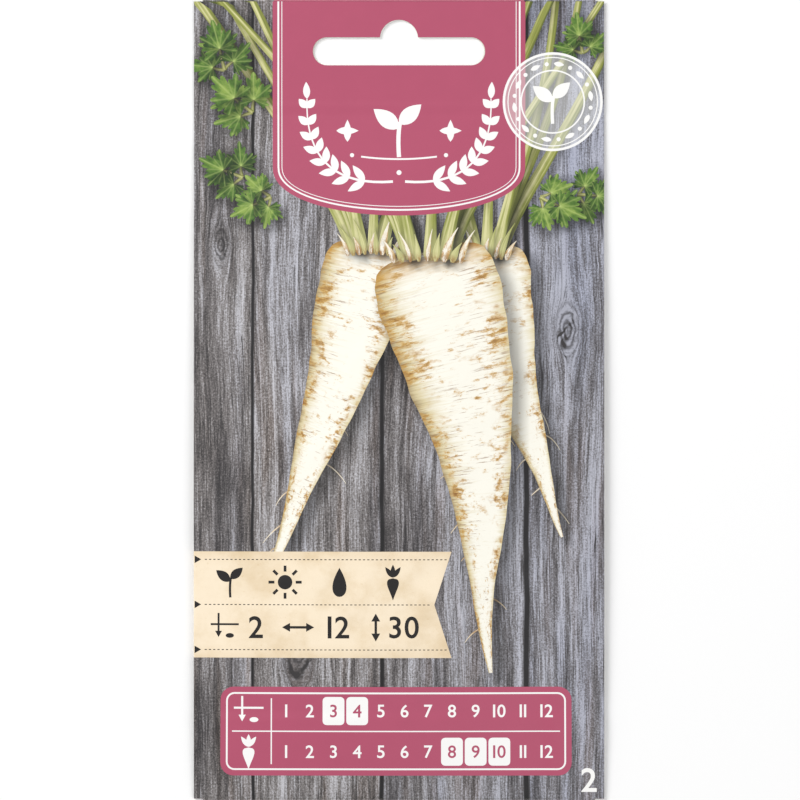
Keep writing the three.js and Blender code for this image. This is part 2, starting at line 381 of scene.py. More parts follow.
@dataclass(frozen=True)
class BoardPrint:
    """The picture's background: weathered grey boards with upright grain, cracks and knots."""

    gaps: tuple[float, ...] = (-29.2, -3.4, 25.4)
    knots: tuple[Knot, ...] = (Knot(-20.0, -50.5, 2.7), Knot(33.6, 14.0, 2.1), Knot(-35.5, 31.0, 1.7))
    knot_height: float = 0.42  # a knot's width over its height
    gap_width: float = 0.34  # half width of the first gap, and how much wider each next one is
    gap_widening: float = 0.16
    layers: tuple[GrainLayer, ...] = (
        GrainLayer(0.55, 0.16, 0.011, 3.0, 0.55),
        GrainLayer(0.95, 0.85, 0.022, 5.0, 0.62),
        GrainLayer(0.95, 4.2, 0.16, 5.0, 0.72),
        GrainLayer(0.5, 8.0, 2.6, 3.0, 0.7),
    )
    level: float = -1.645  # brings the layers' sum to the middle of the ramp
    gap: Colour = srgb(24, 22, 24)
    dark: Colour = srgb(52, 49, 50)
    low: Colour = srgb(99, 94, 93)
    middle: Colour = srgb(139, 134, 133)
    high: Colour = srgb(200, 199, 204)
    blue: Colour = srgb(150, 158, 176)
    brown: Colour = srgb(150, 128, 108)

    def bend(self, paint: Paint, x: Value, y: Value) -> tuple[Value, Value]:
        """Bends the grain round the knots.

        Args:
            paint: The material.
            x: Place across the boards.
            y: Place along them.

        Returns:
            The place across the grain, and how near the point is to the heart of a knot, 0 to 1.
        """
        sway = paint.grain(x * 0.03, y * 0.016, 0.0, 2.0) * 5.0
        across = x + sway
        heart: Any = 0.0
        for knot in self.knots:
            dx = x - knot.x
            dy = (y - knot.y) * self.knot_height
            wobble = paint.noise(paint.vector(x, y), 0.35, 2.0) * 0.8 + 0.6
            distance = (dx * dx + dy * dy) * wobble
            across = across - dx * knot.radius**2 / distance.at_least(knot.radius**2) * 0.96
            heart = 1.0 - distance.rise(0.0, (knot.radius * 1.9) ** 2) + heart
        return across, heart

    def rings(self, paint: Paint, x: Value, y: Value) -> Value:
        """Draws the dark rings inside each knot."""
        total: Any = 0.0
        for knot in self.knots:
            dx = x - knot.x
            dy = (y - knot.y) * self.knot_height
            wobble = paint.noise(paint.vector(x, y), 0.6, 3.0) * 1.3
            radius = (dx * dx + dy * dy) ** 0.5
            line = abs(((radius / knot.radius * 2.6 + wobble).fraction() - 0.5) * 2.0)
            inside = 1.0 - radius.rise(knot.radius * 0.55, knot.radius * 1.5)
            total = (1.0 - line.rise(0.1, 0.8)) * inside + total
        return total

    def seams(self, paint: Paint, x: Value, y: Value) -> tuple[Value, Value]:
        """Divides the boards.

        Args:
            paint: The material.
            x: Place across the boards.
            y: Place along them.

        Returns:
            The number of the board, and how near the point is to the gap beside it, 0 to 1.
        """
        board: Any = 0.0
        seam: Any = 0.0
        wander = (paint.grain(y * 0.06, 0.0, 0.0, 4.0) - 0.5) * 1.3
        for number, gap in enumerate(self.gaps):
            edge = x - gap + wander * (1.0 if number % 2 else -0.8)
            board = edge.above(0.0) + board
            width = self.gap_width + self.gap_widening * number
            seam = 1.0 - abs(edge).rise(width * 0.45, width * 1.5) + seam
        return board, seam

    def cracks(self, paint: Paint, across: Value, y: Value, lane: Value) -> Value:
        """Draws open cracks in some places, and hairline ones everywhere."""
        ridge = abs(paint.grain(across * 0.62, y * 0.012, lane + 31.0, 3.0, 0.6) - 0.5)
        where = paint.grain(across * 0.2, y * 0.045, lane + 3.0, 3.0).rise(0.45, 0.56)
        hair = abs(paint.grain(across * 1.7, y * 0.02, lane + 50.0, 2.0) - 0.5)
        return (1.0 - ridge.rise(0.002, 0.013)) * where * 0.85 + (1.0 - hair.rise(0.0, 0.016)) * 0.62

    def paint(self) -> Paint:
        """Writes the material. Each board takes its own part of the noise, and the right side is cooler."""
        paint = Paint("print_boards")
        x, y, _ = paint.place()
        across, heart = self.bend(paint, x, y)
        board, seam = self.seams(paint, x, y)
        lane = board * 17.3
        speck = paint.noise(paint.vector(x, y), 2.6, 3.0, 0.75)
        wear = paint.grain(x * 0.09, y * 0.035, lane + 4.0, 4.0, 0.6)
        east = x.rise(-16.0, 30.0) + x.rise(0.0, 36.0) * y.rise(-20.0, 70.0) * 0.6
        value = speck * 0.75 + wear * 0.5 + east * 0.085 + self.level
        for layer in self.layers:
            noise = paint.grain(across * layer.across, y * layer.along, lane, layer.detail, layer.roughness)
            value = noise * layer.weight + value
        stops = ((0.2, self.dark), (0.37, self.low), (0.51, self.middle), (0.71, self.high))
        colour = paint.ramp(value, stops)
        cool = paint.grain(across * 0.13, y * 0.013, lane + 9.0, 2.0).rise(0.44, 0.66)
        colour = paint.mix(cool * 0.26 + east * 0.42, colour, self.blue, "OVERLAY")
        warm = paint.grain(across * 0.35, y * 0.02, lane + 21.0, 3.0).rise(0.52, 0.7)
        colour = paint.mix(warm * 0.45, colour, self.brown, "SOFT_LIGHT")
        darkness = self.cracks(paint, across, y, lane) + self.rings(paint, x, y) * 0.62
        colour = paint.mix(darkness + heart * 0.2 + seam * 0.95, colour, self.dark)
        colour = paint.mix(seam.rise(0.75, 1.0), colour, self.gap)
        COATED.apply(paint, colour)
        return paint


@dataclass(frozen=True)
class RootPrint:
    """A pictured root: cream skin with fine rings round it, and ochre and brown marks."""

    skin: Colour = srgb(252, 249, 237)
    side: Colour = srgb(222, 208, 166)
    edge: Colour = srgb(142, 116, 72)
    ochre: Colour = srgb(204, 158, 74)
    brown: Colour = srgb(138, 92, 44)
    shoulder: float = 7.0  # length of the stained shoulder, in millimetres

    def paint(self) -> Paint:
        """Writes the material. The chart gives -1 to 1 across the root, and millimetres from its crown."""
        paint = Paint("print_root")
        across, along, tone = paint.attribute(CHART)
        wide = paint.vector(across * 2.0, along, tone * 40.0)
        rings = paint.grain(across * 0.8, along * 1.35, tone * 50.0, 5.0, 0.62)
        fine = paint.grain(across * 1.6, along * 3.4, tone * 31.0, 4.0, 0.65)
        light = across * 0.16 + abs(across) ** 3.4 * 0.66
        value = light + (rings - 0.5) * 0.62 + (fine - 0.5) * 0.62
        colour = paint.ramp(value, ((0.06, self.skin), (0.5, self.side), (0.95, self.edge)))
        patch = paint.grain(across * 1.3, along * 0.12, tone * 13.0, 3.0, 0.6)
        flank = abs(across).rise(0.1, 0.9) * 0.12
        blot = paint.grain(across * 3.4, along * 0.8, tone * 7.0, 5.0, 0.7) + flank
        stain = blot.rise(0.56, 0.70) * patch.rise(0.38, 0.56)
        colour = paint.mix(stain * 0.9, colour, self.ochre)
        core = blot.rise(0.65, 0.78) * patch.rise(0.4, 0.58)
        colour = paint.mix(core * 0.75, colour, self.brown)
        thin = paint.grain(across * 1.5, along * 2.6, tone * 23.0, 4.0, 0.66) + flank * 0.5
        mark = thin.rise(0.60, 0.67) * patch.rise(0.4, 0.58)
        colour = paint.mix(mark * 0.66, colour, self.brown)
        top = 1.0 - along.rise(0.0, self.shoulder)
        rust = paint.noise(wide, 0.55, 5.0, 0.65)
        colour = paint.mix(top * rust.rise(0.4, 0.62) * 0.8, colour, self.ochre)
        rim = (1.0 - along.rise(0.2, 2.6)) * rust.rise(0.36, 0.6)
        colour = paint.mix(rim * 0.8, colour, self.brown)
        COATED.apply(paint, colour)
        return paint


@dataclass(frozen=True)
class StalkPrint:
    """A pictured stalk: ribbed green, pale where it leaves the root."""

    pale: Colour = srgb(220, 216, 160)
    green: Colour = srgb(150, 156, 74)
    deep: Colour = srgb(80, 88, 34)
    bark: Colour = srgb(156, 116, 62)
    pale_length: float = 9.0
    scar: float = 2.2  # length of the brown foot

    def paint(self) -> Paint:
        """Writes the material. The chart gives -1 to 1 across the stalk, and millimetres from its foot."""
        paint = Paint("print_stalk")
        across, along, tone = paint.attribute(CHART)
        ribs = paint.grain(across * 2.1, along * 0.035, tone * 60.0, 4.0, 0.6)
        blotch = paint.grain(across, along * 0.16, tone * 20.0, 3.0)
        value = across * 0.2 + abs(across) ** 2.0 * 0.32 + (ribs - 0.5) * 1.5 + (blotch - 0.5) * 0.5 + 0.3
        value = value + tone * 0.22 - 0.1
        colour = paint.ramp(value, ((0.05, self.pale), (0.42, self.green), (0.9, self.deep)))
        foot = 1.0 - along.rise(0.0, self.pale_length)
        colour = paint.mix(foot * 0.62, colour, self.pale)
        dry = paint.grain(across * 1.4, along * 0.9, tone * 33.0, 4.0, 0.7).rise(0.3, 0.6)
        colour = paint.mix((1.0 - along.rise(0.2, self.scar)) * dry * 0.85, colour, self.bark)
        COATED.apply(paint, colour)
        return paint


@dataclass(frozen=True)
class LeafPrint:
    """A pictured leaflet with a midrib and side veins."""

    light: Colour = srgb(142, 168, 78)
    green: Colour = srgb(88, 124, 48)
    deep: Colour = srgb(40, 68, 26)
    vein: Colour = srgb(180, 198, 118)
    vein_angles: tuple[float, ...] = (0.0, 26.0, -26.0, 52.0, -52.0)

    def paint(self) -> Paint:
        """Writes the material. The chart gives a place on the leaflet, from 0 at its foot to 1 at its tip."""
        paint = Paint("print_leaf")
        across, along, tone = paint.attribute(CHART)
        spot = paint.vector(across, along, tone * 30.0)
        mottle = paint.noise(spot, 3.2, 4.0, 0.6)
        crease = paint.noise(paint.vector(across * 2.5, along, tone * 9.0), 3.0, 2.0)
        value = (mottle - 0.5) * 1.2 + (crease - 0.5) * 0.9 + abs(across) * 0.5 + tone * 0.7 + 0.1
        value = value + (1.0 - along.rise(0.0, 0.5)) * 0.3
        vein: Any = 0.0
        for angle in self.vein_angles:
            turn = math.radians(angle)
            off = abs(across * math.cos(turn) - along * math.sin(turn))
            ahead = (across * math.sin(turn) + along * math.cos(turn)).above(0.0)
            vein = (1.0 - off.rise(0.008, 0.045)) * ahead * (1.0 if angle == 0 else 0.7) + vein
            value = value + (1.0 - off.rise(0.03, 0.16)) * ahead * -0.16
        colour = paint.ramp(value, ((0.0, self.light), (0.42, self.green), (0.95, self.deep)))
        colour = paint.mix(vein * 0.42, colour, self.vein)
        COATED.apply(paint, colour)
        return paint


@dataclass(frozen=True)
class FlatInk:
    """One even ink, with the faint unevenness of offset print."""

    name: str
    colour: Colour
    mottle: float = 0.05

    def paint(self) -> Paint:
        """Writes the material."""
        paint = Paint(self.name)
        x, y, z = paint.place()
        drift = paint.noise(paint.vector(x, y, z), 0.22, 3.0)
        colour = paint.scale(self.colour, (drift - 0.5) * (2 * self.mottle) + 1.0)
        COATED.apply(paint, colour)
        return paint


@dataclass(frozen=True)
class LabelPrint:
    """The cream label: old paper with faint stains and a darker rim."""

    cream: Colour = srgb(250, 233, 206)
    stain: Colour = srgb(226, 202, 164)

    def paint(self) -> Paint:
        """Writes the material. The chart's x is how near the point is to the label's rim, 0 to 1."""
        paint = Paint("print_label")
        rim, _, _ = paint.attribute(CHART)
        x, y, _ = paint.place()
        spot = paint.vector(x, y)
        cloud = paint.noise(spot, 0.09, 5.0, 0.62)
        speck = paint.noise(spot, 1.3, 3.0, 0.6)
        value = cloud.rise(0.4, 0.72) * 0.75 + speck.rise(0.6, 0.75) * 0.3 + rim * 0.35
        COATED.apply(paint, paint.mix(value, self.cream, self.stain))
        return paint


@dataclass(frozen=True)
class RawPaper:
    """The uncoated side and the cut edge of the sheet."""

    colour: Colour = srgb(238, 235, 226)
    shade: Colour = srgb(221, 216, 204)

    def paint(self) -> Paint:
        """Writes the material."""
        paint = Paint("raw_paper")
        x, y, z = paint.place()
        spot = paint.vector(x, y, z)
        fibre = paint.noise(spot, 3.0, 6.0, 0.7)
        cloud = paint.noise(spot, 0.18, 3.0)
        colour = paint.mix(fibre * 0.6 + cloud * 0.4, self.colour, self.shade)
        paint.finish(colour, fibre * 0.2 + 0.68, fibre, 0.02 * MM)
        return paint


@dataclass(frozen=True)
class Adhesive:
    """Dried dispersion glue: clear, a little yellow, with drag marks from the roller."""

    colour: Colour = srgb(236, 227, 198)
    drip: Colour = srgb(214, 200, 160)

    def paint(self) -> Paint:
        """Writes the material."""
        paint = Paint("dried_adhesive")
        x, y, z = paint.place()
        drag = paint.grain(x * 0.25, y * 2.0, z, 4.0)
        drops = paint.noise(paint.vector(x, y, z), 1.6, 3.0)
        colour = paint.mix(drops * 0.5, self.colour, self.drip)
        paint.finish(colour, drag * 0.3 + 0.12, drag + drops, 0.02 * MM)
        return paint


@dataclass(frozen=True)
class SeedCoat:
    """The seeds' husk: grey-brown, paler along the ribs, each seed of its own tone."""

    dark: Colour = srgb(84, 68, 46)
    middle: Colour = srgb(132, 110, 76)
    rib: Colour = srgb(186, 164, 118)

    def paint(self) -> Paint:
        """Writes the material. The chart gives the turn round the seed, the place along it and its tone."""
        paint = Paint("seed_husk")
        turn, along, tone = paint.attribute(CHART)
        rough = paint.grain(turn * 6.0, along * 5.0, tone * 90.0, 4.0, 0.7)
        rib = (1.0 - abs((turn * 5.0).fraction() - 0.5).rise(0.05, 0.22)) * 0.8
        colour = paint.mix(rough.rise(0.3, 0.7), self.dark, self.middle)
        colour = paint.mix(rib, colour, self.rib)
        colour = paint.scale(colour, tone * 0.5 + 0.75)
        paint.finish(colour, rough * 0.2 + 0.62, rough + rib, 0.05 * MM)
        return paint


class Ink(Enum):
    """What a printed area is printed with."""

    BOARDS = BoardPrint()
    ROOT = RootPrint()
    STALK = StalkPrint()
    LEAF = LeafPrint()
    PINK = FlatInk("ink_pink", srgb(180, 80, 108), 0.035)
    WHITE = FlatInk("ink_left_white", srgb(250, 249, 247), 0.008)
    CREAM = LabelPrint()
    DARK = FlatInk("ink_dark", srgb(26, 22, 21), 0.1)
    BACK = FlatInk("ink_off_white", srgb(247, 243, 234), 0.012)


# --------------------------------------------------------------------------------------------------
# Flat shapes

Chart = Callable[[Points], Points]
Darkness = Callable[[Points], Points]


def no_chart(points: Points) -> Points:
    """Gives every point a chart of zeros."""
    return np.zeros((len(points), 3))


@dataclass(frozen=True)
class Area:
    """A printed area of the blank.

    Attributes:
        outlines: Closed outlines. A point is in the area where an odd number of them hold it.
        ink: What it is printed with, or None if it only changes what is under it.
        chart: Gives the ink its place on the printed thing.
        shadow: How dark it makes the areas under it, or None.
        veil: How much white it lays over what is under it.
    """

    outlines: tuple[Points, ...]
    ink: Ink | None
    chart: Chart = no_chart
    shadow: Darkness | None = None
    veil: float = 0.0


def anticlockwise(outline: Points) -> Points:
    """Returns an outline walked anticlockwise, which is how the cut takes it."""
    x, y = outline[:, 0], outline[:, 1]
    twice_area = np.dot(x, np.roll(y, -1)) - np.dot(np.roll(x, -1), y)
    return outline if twice_area > 0 else outline[::-1]


def with_short_edges(outline: Points, longest: float) -> Points:
    """Adds points to an outline, so that it can bend with the sheet.

    Args:
        outline: A closed outline.
        longest: How long an edge may be.
    """
    parts = []
    for a, b in zip(outline, np.roll(outline, -1, axis=0)):
        count = max(1, math.ceil(float(np.linalg.norm(b - a)) / longest))
        parts.append(a + (b - a) * np.linspace(0, 1, count, endpoint=False)[:, None])
    return np.vstack(parts)


def ellipse(x: float, y: float, across: float, up: float | None = None, steps: int = 32) -> Points:
    """Returns the outline of an ellipse.

    Args:
        x: Its middle.
        y: Its middle.
        across: Its half width.
        up: Its half height, if it isn't a circle.
        steps: How many points it has.
    """
    angle = np.linspace(0, 2 * math.pi, steps, endpoint=False)
    return np.column_stack((x + np.cos(angle) * across, y + np.sin(angle) * (across if up is None else up)))


def rounded_box(low: Place, high: Place, radius: float, steps: int = 6) -> Points:
    """Returns the outline of a box with round corners."""
    points = []
    corners = ((high[0], high[1], 0), (low[0], high[1], 90), (low[0], low[1], 180), (high[0], low[1], 270))
    for x, y, start in corners:
        cx = x - math.copysign(radius, x - (low[0] + high[0]) / 2)
        cy = y - math.copysign(radius, y - (low[1] + high[1]) / 2)
        for angle in np.radians(np.linspace(start, start + 90, steps + 1)):
            points.append((cx + radius * math.cos(angle), cy + radius * math.sin(angle)))
    return np.array(points)


def bezier(points: Sequence[Place], steps: int) -> Points:
    """Returns points along the Bezier curve of any degree that these control points make."""
    t = np.linspace(0, 1, steps + 1)[:, None]
    layer = [np.asarray(p, float)[None, :] for p in points]
    while len(layer) > 1:
        layer = [a * (1 - t) + b * t for a, b in zip(layer, layer[1:])]
    return layer[0]


@dataclass(frozen=True)
class Ribbon:
    """A strip along a line, with a half width at each of its points."""

    line: Points
    half_width: Points

    def outline(self) -> Points:
        """Returns the strip's outline, up its right side and down its left."""
        step = np.gradient(self.line, axis=0)
        normal = np.column_stack((step[:, 1], -step[:, 0])) / np.linalg.norm(step, axis=1)[:, None]
        side = normal * self.half_width[:, None]
        return np.vstack((self.line + side, (self.line - side)[::-1]))

    def locate(self, points: Points) -> tuple[Points, Points, Points]:
        """Finds where points are on the strip.

        Args:
            points: Flat places.

        Returns:
            The distance from the middle line, less than 0 on the left, the distance along it, and the half
            width there.
        """
        a, b = self.line[:-1], self.line[1:]
        d = b - a
        length = np.linalg.norm(d, axis=1)
        to = points[:, None, :] - a[None]
        t = np.clip((to * d).sum(2) / length**2, 0, 1)
        gap = to - t[..., None] * d
        nearest = np.argmin((gap**2).sum(2), axis=1)
        row = np.arange(len(points))
        t, gap, along = t[row, nearest], gap[row, nearest], d[nearest]
        sign = np.sign(gap[:, 0] * along[:, 1] - gap[:, 1] * along[:, 0])
        start = np.concatenate(([0.0], np.cumsum(length)[:-1]))
        width = self.half_width[nearest] * (1 - t) + self.half_width[nearest + 1] * t
        return sign * np.linalg.norm(gap, axis=1), start[nearest] + t * length[nearest], width

    def chart(self, tone: float, start: float = 0.0) -> Chart:
        """Returns a chart with -1 to 1 across the strip, and millimetres along it from a start."""

        def found(points: Points) -> Points:
            """Locates points on the strip."""
            off, along, width = self.locate(points)
            across = off / np.maximum(width, 0.05)
            return np.column_stack((across, along + start, np.full(len(points), tone)))

        return found

    def shadow(self, strength: float, blur: float, shift: Place) -> Darkness:
        """Returns the soft shadow that the strip throws on what is under it."""
        reach = float(self.half_width.max()) + blur + 0.5
        low, high = self.line.min(0) - reach, self.line.max(0) + reach

        def darkness(points: Points) -> Points:
            """Measures the shadow at points."""
            moved = points - np.array(shift)
            near = ((moved > low) & (moved < high)).all(1)
            result = np.zeros(len(points))
            if near.any():
                off, _, width = self.locate(moved[near])
                fall = np.minimum(blur, 1.2 * width + 0.6)
                result[near] = strength * (1 - smoothstep(-0.4, 1.0, (np.abs(off) - width) / fall))
            return result

        return darkness

    def area(self, ink: Ink, tone: float, shadow: tuple[float, float, Place], start: float = 0.0) -> Area:
        """Prints the strip as a round thing that lies on what is under it.

        Args:
            ink: What it is printed with.
            tone: Makes it differ from others of its kind, 0 to 1.
            shadow: The strength, blur and shift of its shadow.
            start: Where its chart starts, in millimetres along it.
        """
        return Area((self.outline(),), ink, self.chart(tone, start), self.shadow(*shadow))


def dot_shadow(x: float, y: float, radius: float, strength: float, blur: float) -> Darkness:
    """Returns the soft round shadow under something small."""

    def darkness(points: Points) -> Points:
        """Measures the shadow at points."""
        distance = np.hypot(points[:, 0] - x, points[:, 1] - y)
        return strength * (1 - smoothstep(radius - blur * 0.6, radius + blur, distance))

    return darkness


def fill(outline: Points, ink: Ink) -> Area:
    """Prints one outline with an ink."""
    return Area((outline,), ink)


def stroke(line: Points, width: float, ink: Ink) -> Area:
    """Prints a line of even width."""
    return fill(Ribbon(line, np.full(len(line), width / 2)).outline(), ink)


def ring(outer: Points, inner: Points, ink: Ink) -> Area:
    """Prints the band between two outlines."""
    return Area((outer, inner), ink)


class Digits:
    """Plain numbers, taken from Blender's own font."""

    def __init__(self, weight: float = 0.0) -> None:
        """Starts with no digit drawn.

        Args:
            weight: How much bolder than the font they are.
        """
        self.weight = weight
        self.drawn: dict[str, list[Points]] = {}

    def glyph(self, character: str) -> list[Points]:
        """Returns a digit's outlines, one unit high, from its left edge."""
        if character not in self.drawn:
            bpy.ops.object.select_all(action="DESELECT")
            bpy.ops.object.text_add()
            text = bpy.context.object
            text.data.body = character
            text.data.resolution_u = 5
            text.data.offset = self.weight
            bpy.ops.object.convert(target="MESH")
            self.drawn[character] = self.loops(bpy.context.object.data)
            bpy.ops.object.delete()
        return self.drawn[character]

    @staticmethod
    def loops(mesh: bpy.types.Mesh) -> list[Points]:
        """Walks round the open edges of a filled digit, and scales it to one unit high."""
        uses: dict[tuple[int, int], int] = {}
        for polygon in mesh.polygons:
            for edge in polygon.edge_keys:
                uses[edge] = uses.get(edge, 0) + 1
        neighbours: dict[int, list[int]] = {}
        for (a, b), count in uses.items():
            if count == 1:
                neighbours.setdefault(a, []).append(b)
                neighbours.setdefault(b, []).append(a)
        places = np.array([v.co[:2] for v in mesh.vertices])
        used = places[list(neighbours)]
        places = (places - used.min(0)) / (used.max(0) - used.min(0))[1]
        found = []
        left = set(neighbours)
        while left:
            walk = [min(left)]
            while True:
                left.discard(walk[-1])
                onward = [n for n in neighbours[walk[-1]] if n in left]
                if not onward:
                    break
                walk.append(onward[0])
            if len(walk) > 2:
                found.append(places[walk])
        return found

    def write(self, text: str, x: float, y: float, height: float, ink: Ink) -> Area:
        """Sets a number with its middle at a place.

        Args:
            text: Digits only.
            x: Where its middle is.
            y: Where its middle is.
            height: The digits' height.
            ink: What it is printed with.

        Returns:
            The printed area.
        """
        gap = 0.16
        loops = []
        cursor = 0.0
        for character in text:
            glyph = self.glyph(character)
            loops += [loop + (cursor, 0.0) for loop in glyph]
            cursor += max(loop[:, 0].max() for loop in glyph) + gap
        middle = np.array(((cursor - gap) / 2, 0.5))
        return Area(tuple((loop - middle) * height + (x, y) for loop in loops), ink)


# --------------------------------------------------------------------------------------------------
# Artwork


def polar(angle: float, radius: float) -> Place:
    """Returns a place at an angle in degrees, clockwise from straight up."""
    return radius * math.sin(math.radians(angle)), radius * math.cos(math.radians(angle))


def blade(x: float, y: float, length: float, width: float, angle: float, steps: int = 9) -> Points:
    """Returns a pointed leaf's outline.

    Args:
        x: Its foot.
        y: Its foot.
        length: From foot to tip.
        width: Across its middle.
        angle: Which way it points, in degrees clockwise from up.
        steps: How many points each side has.
    """
    along = np.linspace(0, 1, steps + 1)
    half = width / 2 * np.sin(math.pi * along**0.85) ** 0.9
    across = np.concatenate((half[:-1], -half[:0:-1]))
    up = np.concatenate((along[:-1], along[:0:-1])) * length
    c, s = math.cos(math.radians(angle)), math.sin(math.radians(angle))
    return np.column_stack((x + across * c + up * s, y - across * s + up * c))


@dataclass(frozen=True)
class Pictograms:
    """Small plain signs, each drawn round its middle at a given size."""

    ink: Ink

    def sprout(self, x: float, y: float, size: float) -> list[Area]:
        """Draws a stem with two leaves."""
        bend = (x - size * 0.03, y - size * 0.1)
        stem = bezier(((x, y - size * 0.5), bend, (x + size * 0.02, y + size * 0.14)), 6)
        left = blade(x, y + size * 0.02, size * 0.58, size * 0.30, -52)
        right = blade(x, y + size * 0.10, size * 0.54, size * 0.28, 48)
        return [stroke(stem, size * 0.075, self.ink), fill(left, self.ink), fill(right, self.ink)]

    def sun(self, x: float, y: float, size: float) -> list[Area]:
        """Draws a disc with rays."""
        rays = []
        for angle in range(0, 360, 45):
            start, end = polar(angle, size * 0.32), polar(angle, size * 0.5)
            line = np.array(((x + start[0], y + start[1]), (x + end[0], y + end[1])))
            rays.append(stroke(line, size * 0.085, self.ink))
        return [fill(ellipse(x, y, size * 0.22, steps=20), self.ink), *rays]

    def drop(self, x: float, y: float, size: float) -> list[Area]:
        """Draws a drop of water."""
        angle = np.linspace(0, 2 * math.pi, 24, endpoint=False)
        across = size * 0.3 * np.sin(angle) * np.sin(angle / 2) ** 1.1
        return [fill(np.column_stack((x + across, y + size * 0.47 * np.cos(angle))), self.ink)]

    def root(self, x: float, y: float, size: float) -> list[Area]:
        """Draws a tap root with three leaves."""
        along = np.linspace(0, 1, 25)
        line = np.column_stack((np.full(len(along), x), y + size * (0.12 - 0.64 * along)))
        width = size * (0.168 * np.sin(math.pi * along**0.45).clip(0) ** 1.1 + 0.006)
        leaves = [blade(x, y + size * 0.14, size * 0.38, size * 0.14, angle) for angle in (-36, 0, 36)]
        return [fill(Ribbon(line, width).outline(), self.ink), *(fill(leaf, self.ink) for leaf in leaves)]

    def arrow(self, start: Place, end: Place, weight: float, both: bool) -> list[Area]:
        """Draws an arrow, with a head at its end, or at both ends."""
        a, b = np.array(start, float), np.array(end, float)
        ahead = (b - a) / np.linalg.norm(b - a)
        side = np.array((-ahead[1], ahead[0]))
        head = weight * 3.2
        heads = [Area((np.array((b, b - ahead * head + side * head * 0.55, b - ahead * head - side * head * 0.55)),),
                      self.ink)]
        if both:
            back = np.array((a, a + ahead * head - side * head * 0.55, a + ahead * head + side * head * 0.55))
            heads.append(fill(back, self.ink))
        shaft = np.array((a + ahead * head * (0.8 if both else 0.0), b - ahead * head * 0.8))
        return [stroke(shaft, weight, self.ink), *heads]

    def ground(self, x: float, y: float, size: float) -> list[Area]:
        """Draws a seed in the ground, with an arrow down to it."""
        surface = np.array(((x - size * 0.5, y + size * 0.1), (x + size * 0.5, y + size * 0.1)))
        seed = ellipse(x + size * 0.18, y - size * 0.3, size * 0.15, size * 0.085, 14)
        left = x - size * 0.22
        down = self.arrow((left, y + size * 0.5), (left, y - size * 0.36), size * 0.07, False)
        return [stroke(surface, size * 0.07, self.ink), fill(seed, self.ink), *down]


@dataclass(frozen=True)
class HeaderTab:
    """The pink tab behind the hanging slot, with a round foot, a double line and a sprig instead of words."""

    half_width: float = 25.0
    straight_to: float = 46.5
    foot: float = 36.8
    head: float = 84.0  # over the packet's top, so that the print bleeds round the fold

    def outline(self, inset: float = 0.0) -> Points:
        """Returns the tab's outline, moved inwards."""
        half = self.half_width - inset
        drop = self.straight_to - self.foot - inset
        angle = np.linspace(0, math.pi, 41)
        foot = np.column_stack((np.cos(angle) * half, self.straight_to - np.sin(angle) ** 0.9 * drop))
        return np.vstack(((-half, self.head - inset), (half, self.head - inset), foot))

    def laurel(self, side: int) -> list[Area]:
        """Draws one of the two sprigs. Side is 1 on the right and -1 on the left."""
        stem = bezier(((side * 1.2, 43.6), (side * 13.5, 42.6), (side * 18.6, 49.0), (side * 18.2, 60.2)), 18)
        areas = [fill(Ribbon(stem, np.linspace(0.26, 0.12, len(stem))).outline(), Ink.WHITE)]
        for number in range(3, 18, 2):
            here, after = stem[number], stem[number + 1]
            heading = math.degrees(math.atan2(after[0] - here[0], after[1] - here[1]))
            length = 4.3 - 0.11 * number
            for turn in (-42, 42):
                leaf = blade(here[0], here[1], length, 1.55, heading + turn)
                areas.append(fill(leaf, Ink.WHITE))
        areas.append(fill(blade(*stem[-1], 3.4, 1.4, side * 3.0), Ink.WHITE))
        return areas

    def areas(self) -> list[Area]:
        """Returns the tab's printed areas."""
        signs = Pictograms(Ink.WHITE)
        found = [
            fill(self.outline(), Ink.PINK),
            ring(self.outline(0.95), self.outline(1.3), Ink.WHITE),
            ring(self.outline(1.75), self.outline(1.9), Ink.WHITE),
            *self.laurel(1),
            *self.laurel(-1),
            *signs.sprout(0.0, 54.0, 11.0),
            stroke(bezier(((-7.5, 48.6), (0.0, 47.6), (7.5, 48.6)), 10), 0.35, Ink.WHITE),
        ]
        for x, radius in ((-9.3, 0.42), (9.3, 0.42), (0.0, 0.5)):
            found.append(fill(ellipse(x, 48.9 if x else 45.4, radius, steps=12), Ink.WHITE))
        for x in (-10.2, 10.2):
            found.append(fill(blade(x, 51.6, 4.4, 1.5, 0), Ink.WHITE))
            found.append(fill(blade(x - 2.2, 53.8, 4.4, 1.5, 90), Ink.WHITE))
        return found


@dataclass(frozen=True)
class RoundStamp:
    """A white ring stamp with a sprout in it, over a thin veil."""

    x: float = 30.4
    y: float = 59.6
    radius: float = 9.9

    def areas(self) -> list[Area]:
        """Returns the stamp's printed areas."""
        x, y, r = self.x, self.y, self.radius
        found = [
            Area((ellipse(x, y, r, steps=56),), None, veil=0.3),
            ring(ellipse(x, y, r, steps=56), ellipse(x, y, r - 0.5, steps=56), Ink.WHITE),
            ring(ellipse(x, y, r - 0.95, steps=56), ellipse(x, y, r - 1.15, steps=56), Ink.WHITE),
            ring(ellipse(x, y, r - 3.5, steps=48), ellipse(x, y, r - 3.8, steps=48), Ink.WHITE),
        ]
        for number in range(20):
            dx, dy = polar(number * 18 + 9, r - 2.3)
            if number % 2:
                found.append(fill(ellipse(x + dx, y + dy, 0.42, steps=12), Ink.WHITE))
            else:
                tilt = number * 18 + 9
                leaf = blade(x + dx - dy * 0.13, y + dy + dx * 0.13, 2.1, 0.95, tilt + 90)
                found.append(fill(leaf, Ink.WHITE))
        found += Pictograms(Ink.WHITE).sprout(x, y - 0.1, 8.6)
        return found


